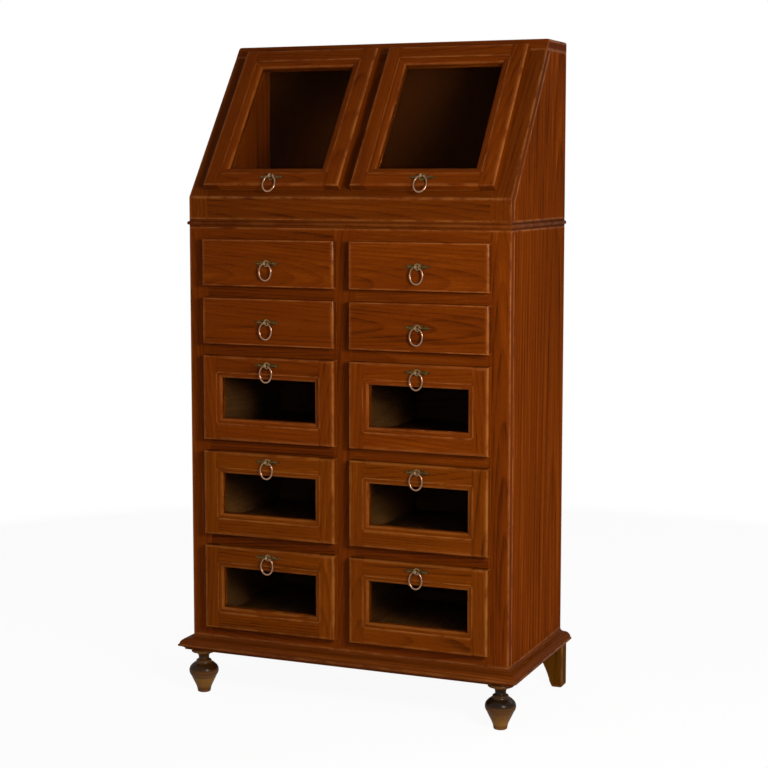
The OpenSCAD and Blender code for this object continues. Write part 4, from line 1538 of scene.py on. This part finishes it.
@dataclass(frozen=True)
class PhotoCamera:
    """The camera of the photograph, fitted to the corners of the fronts and the feet."""

    place: Triple = (1.630, -3.847, 1.250)
    azimuth: float = 22.69
    tilt: float = -5.85
    sensor_mm: float = 36
    lens_mm: float = 82.45
    shift: float = -0.04

    def build(self) -> None:
        """Adds the camera and makes it the scene's own."""
        data = bpy.data.cameras.new("Photo camera")
        data.sensor_width = self.sensor_mm
        data.lens = self.lens_mm
        data.shift_y = self.shift
        camera = bpy.data.objects.new("Photo camera", data)
        camera.location = self.place
        camera.rotation_euler = (math.radians(90 + self.tilt), 0, math.radians(self.azimuth))
        bpy.context.scene.collection.objects.link(camera)
        bpy.context.scene.camera = camera


@dataclass
class Case:
    """The fixed boards of the hutch."""

    plain: tuple[str, ...] = ("lower_face_frame", "case_bottom", "top_board")
    upright: tuple[str, ...] = ("lower_sides", "upper_sides", "centre_partition")
    knee: float = 1193.6 * MM
    leg_arris: float = 3.0 * MM
    waist_band: float = 1.2 * MM

    def boards(self) -> list[Timber]:
        """Lists every fixed board, in the order in which they are built.

        Returns:
            The boards, each with its finish.
        """
        return [
            Timber("base_moulding", DARK_WALNUT),
            Timber("rear_legs", REAR_WALNUT, arris=self.leg_arris),
            Timber("waist_board", WAIST_WALNUT, band=self.waist_band),
            Timber("upper_face_frame", SHADED_FRAME_WALNUT, knee=self.knee),
            *(Timber(node, WALNUT) for node in self.plain),
            *(Timber(node, SIDE_WALNUT, fibres=Fibres.UPRIGHT) for node in self.upright),
            Timber("back_panels", BACK_PANEL, fibres=Fibres.UPRIGHT),
            Timber("drawer_runners", BOX_WOOD, band=0),
        ]

    def build(self, finishes: Finishes, around: Surroundings) -> None:
        """Builds every fixed board and the feet.

        Args:
            finishes: the materials.
            around: the boards that they may lie against.
        """
        for board in self.boards():
            board.build(finishes, around)
        FrontFeet().build(finishes)


@dataclass
class Drawer:
    """A drawer with its pull, its ring and, where it has one, its pane."""

    side: str
    row: int
    front_slack: float = 0.5 * MM

    def build(self, finishes: Finishes, around: Surroundings) -> None:
        """Builds the drawer.

        Args:
            finishes: the materials.
            around: the boards that its own may lie against.
        """
        node = f"{self.side}_drawer_{self.row}"
        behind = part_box(node)[0].y + FRONT_REACH
        finish = GOLDEN_WALNUT if self.row in GOLDEN_ROWS else WALNUT
        Timber(node, finish, inner=BOX_WOOD, inner_from=behind - self.front_slack).build(finishes, around)
        if self.row in GLAZED_ROWS:
            dress(f"{node}_glass", finishes.material(PANE))
        eye = Matrix.Translation(eye_of(f"drawer_{self.side}_{self.row}_ring_swing"))
        Pull(f"{node}_pull", eye @ Matrix.Translation((0, Pull.eye_out * MM, 0))).build(finishes)
        DropRing(f"{node}_ring", eye).build(finishes)


@dataclass
class Door:
    """A sloping glazed door with its hinge leaves, its stay, its pull and its ring."""

    side: str

    def build(self, finishes: Finishes, around: Surroundings) -> None:
        """Builds the door.

        Args:
            finishes: the materials.
            around: the boards that its own may lie against.
        """
        node = f"{self.side}_door"
        Timber(node, WALNUT).build(finishes, around)
        dress(f"{node}_glass", finishes.material(PANE))
        dress(f"{node}_hinges_and_stay", finishes.material(BRASS))
        eye = Matrix.Translation(eye_of(f"door_{self.side}_ring_swing"))
        slope = eye @ Matrix.Rotation(math.radians(DOOR_SLOPE - 90), 4, "X")
        lean = slope @ Matrix.Rotation(math.radians(DOOR_RING_LEAN), 4, "X")
        Pull(f"{node}_pull", slope @ Matrix.Translation((0, Pull.eye_out * MM, 0))).build(finishes)
        DropRing(f"{node}_ring", lean).build(finishes)


def eye_of(joint: str) -> Vector:
    """Returns the place of a ring's joint."""
    return Vector(next(entry["pos_m"] for entry in frame["joints"] if entry["name"] == joint))


def dress(node: str, material: bpy.types.Material) -> None:
    """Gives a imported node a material.

    Args:
        node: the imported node, which keeps its shape.
        material: its material.
    """
    mesh = frame["nodes"][node].data
    mesh.materials.clear()
    mesh.materials.append(material)
    log.info("%s keeps its packed shape", node)


def main() -> None:
    """Builds the hutch, the studio and the camera, and reports each piece."""
    logging.basicConfig(level=logging.INFO, format="%(message)s")
    bpy.context.scene.view_settings.view_transform = "Standard"
    PhotoCamera().build()
    Studio().build()
    finishes = Finishes()
    around = Surroundings()
    Case().build(finishes, around)
    for side in SIDES:
        Door(side).build(finishes, around)
        for row in DRAWER_ROWS:
            Drawer(side, row).build(finishes, around)
    dress("case_hinge_leaves_and_stay_guides", finishes.material(BRASS))


if __name__ == "__main__":
    main()
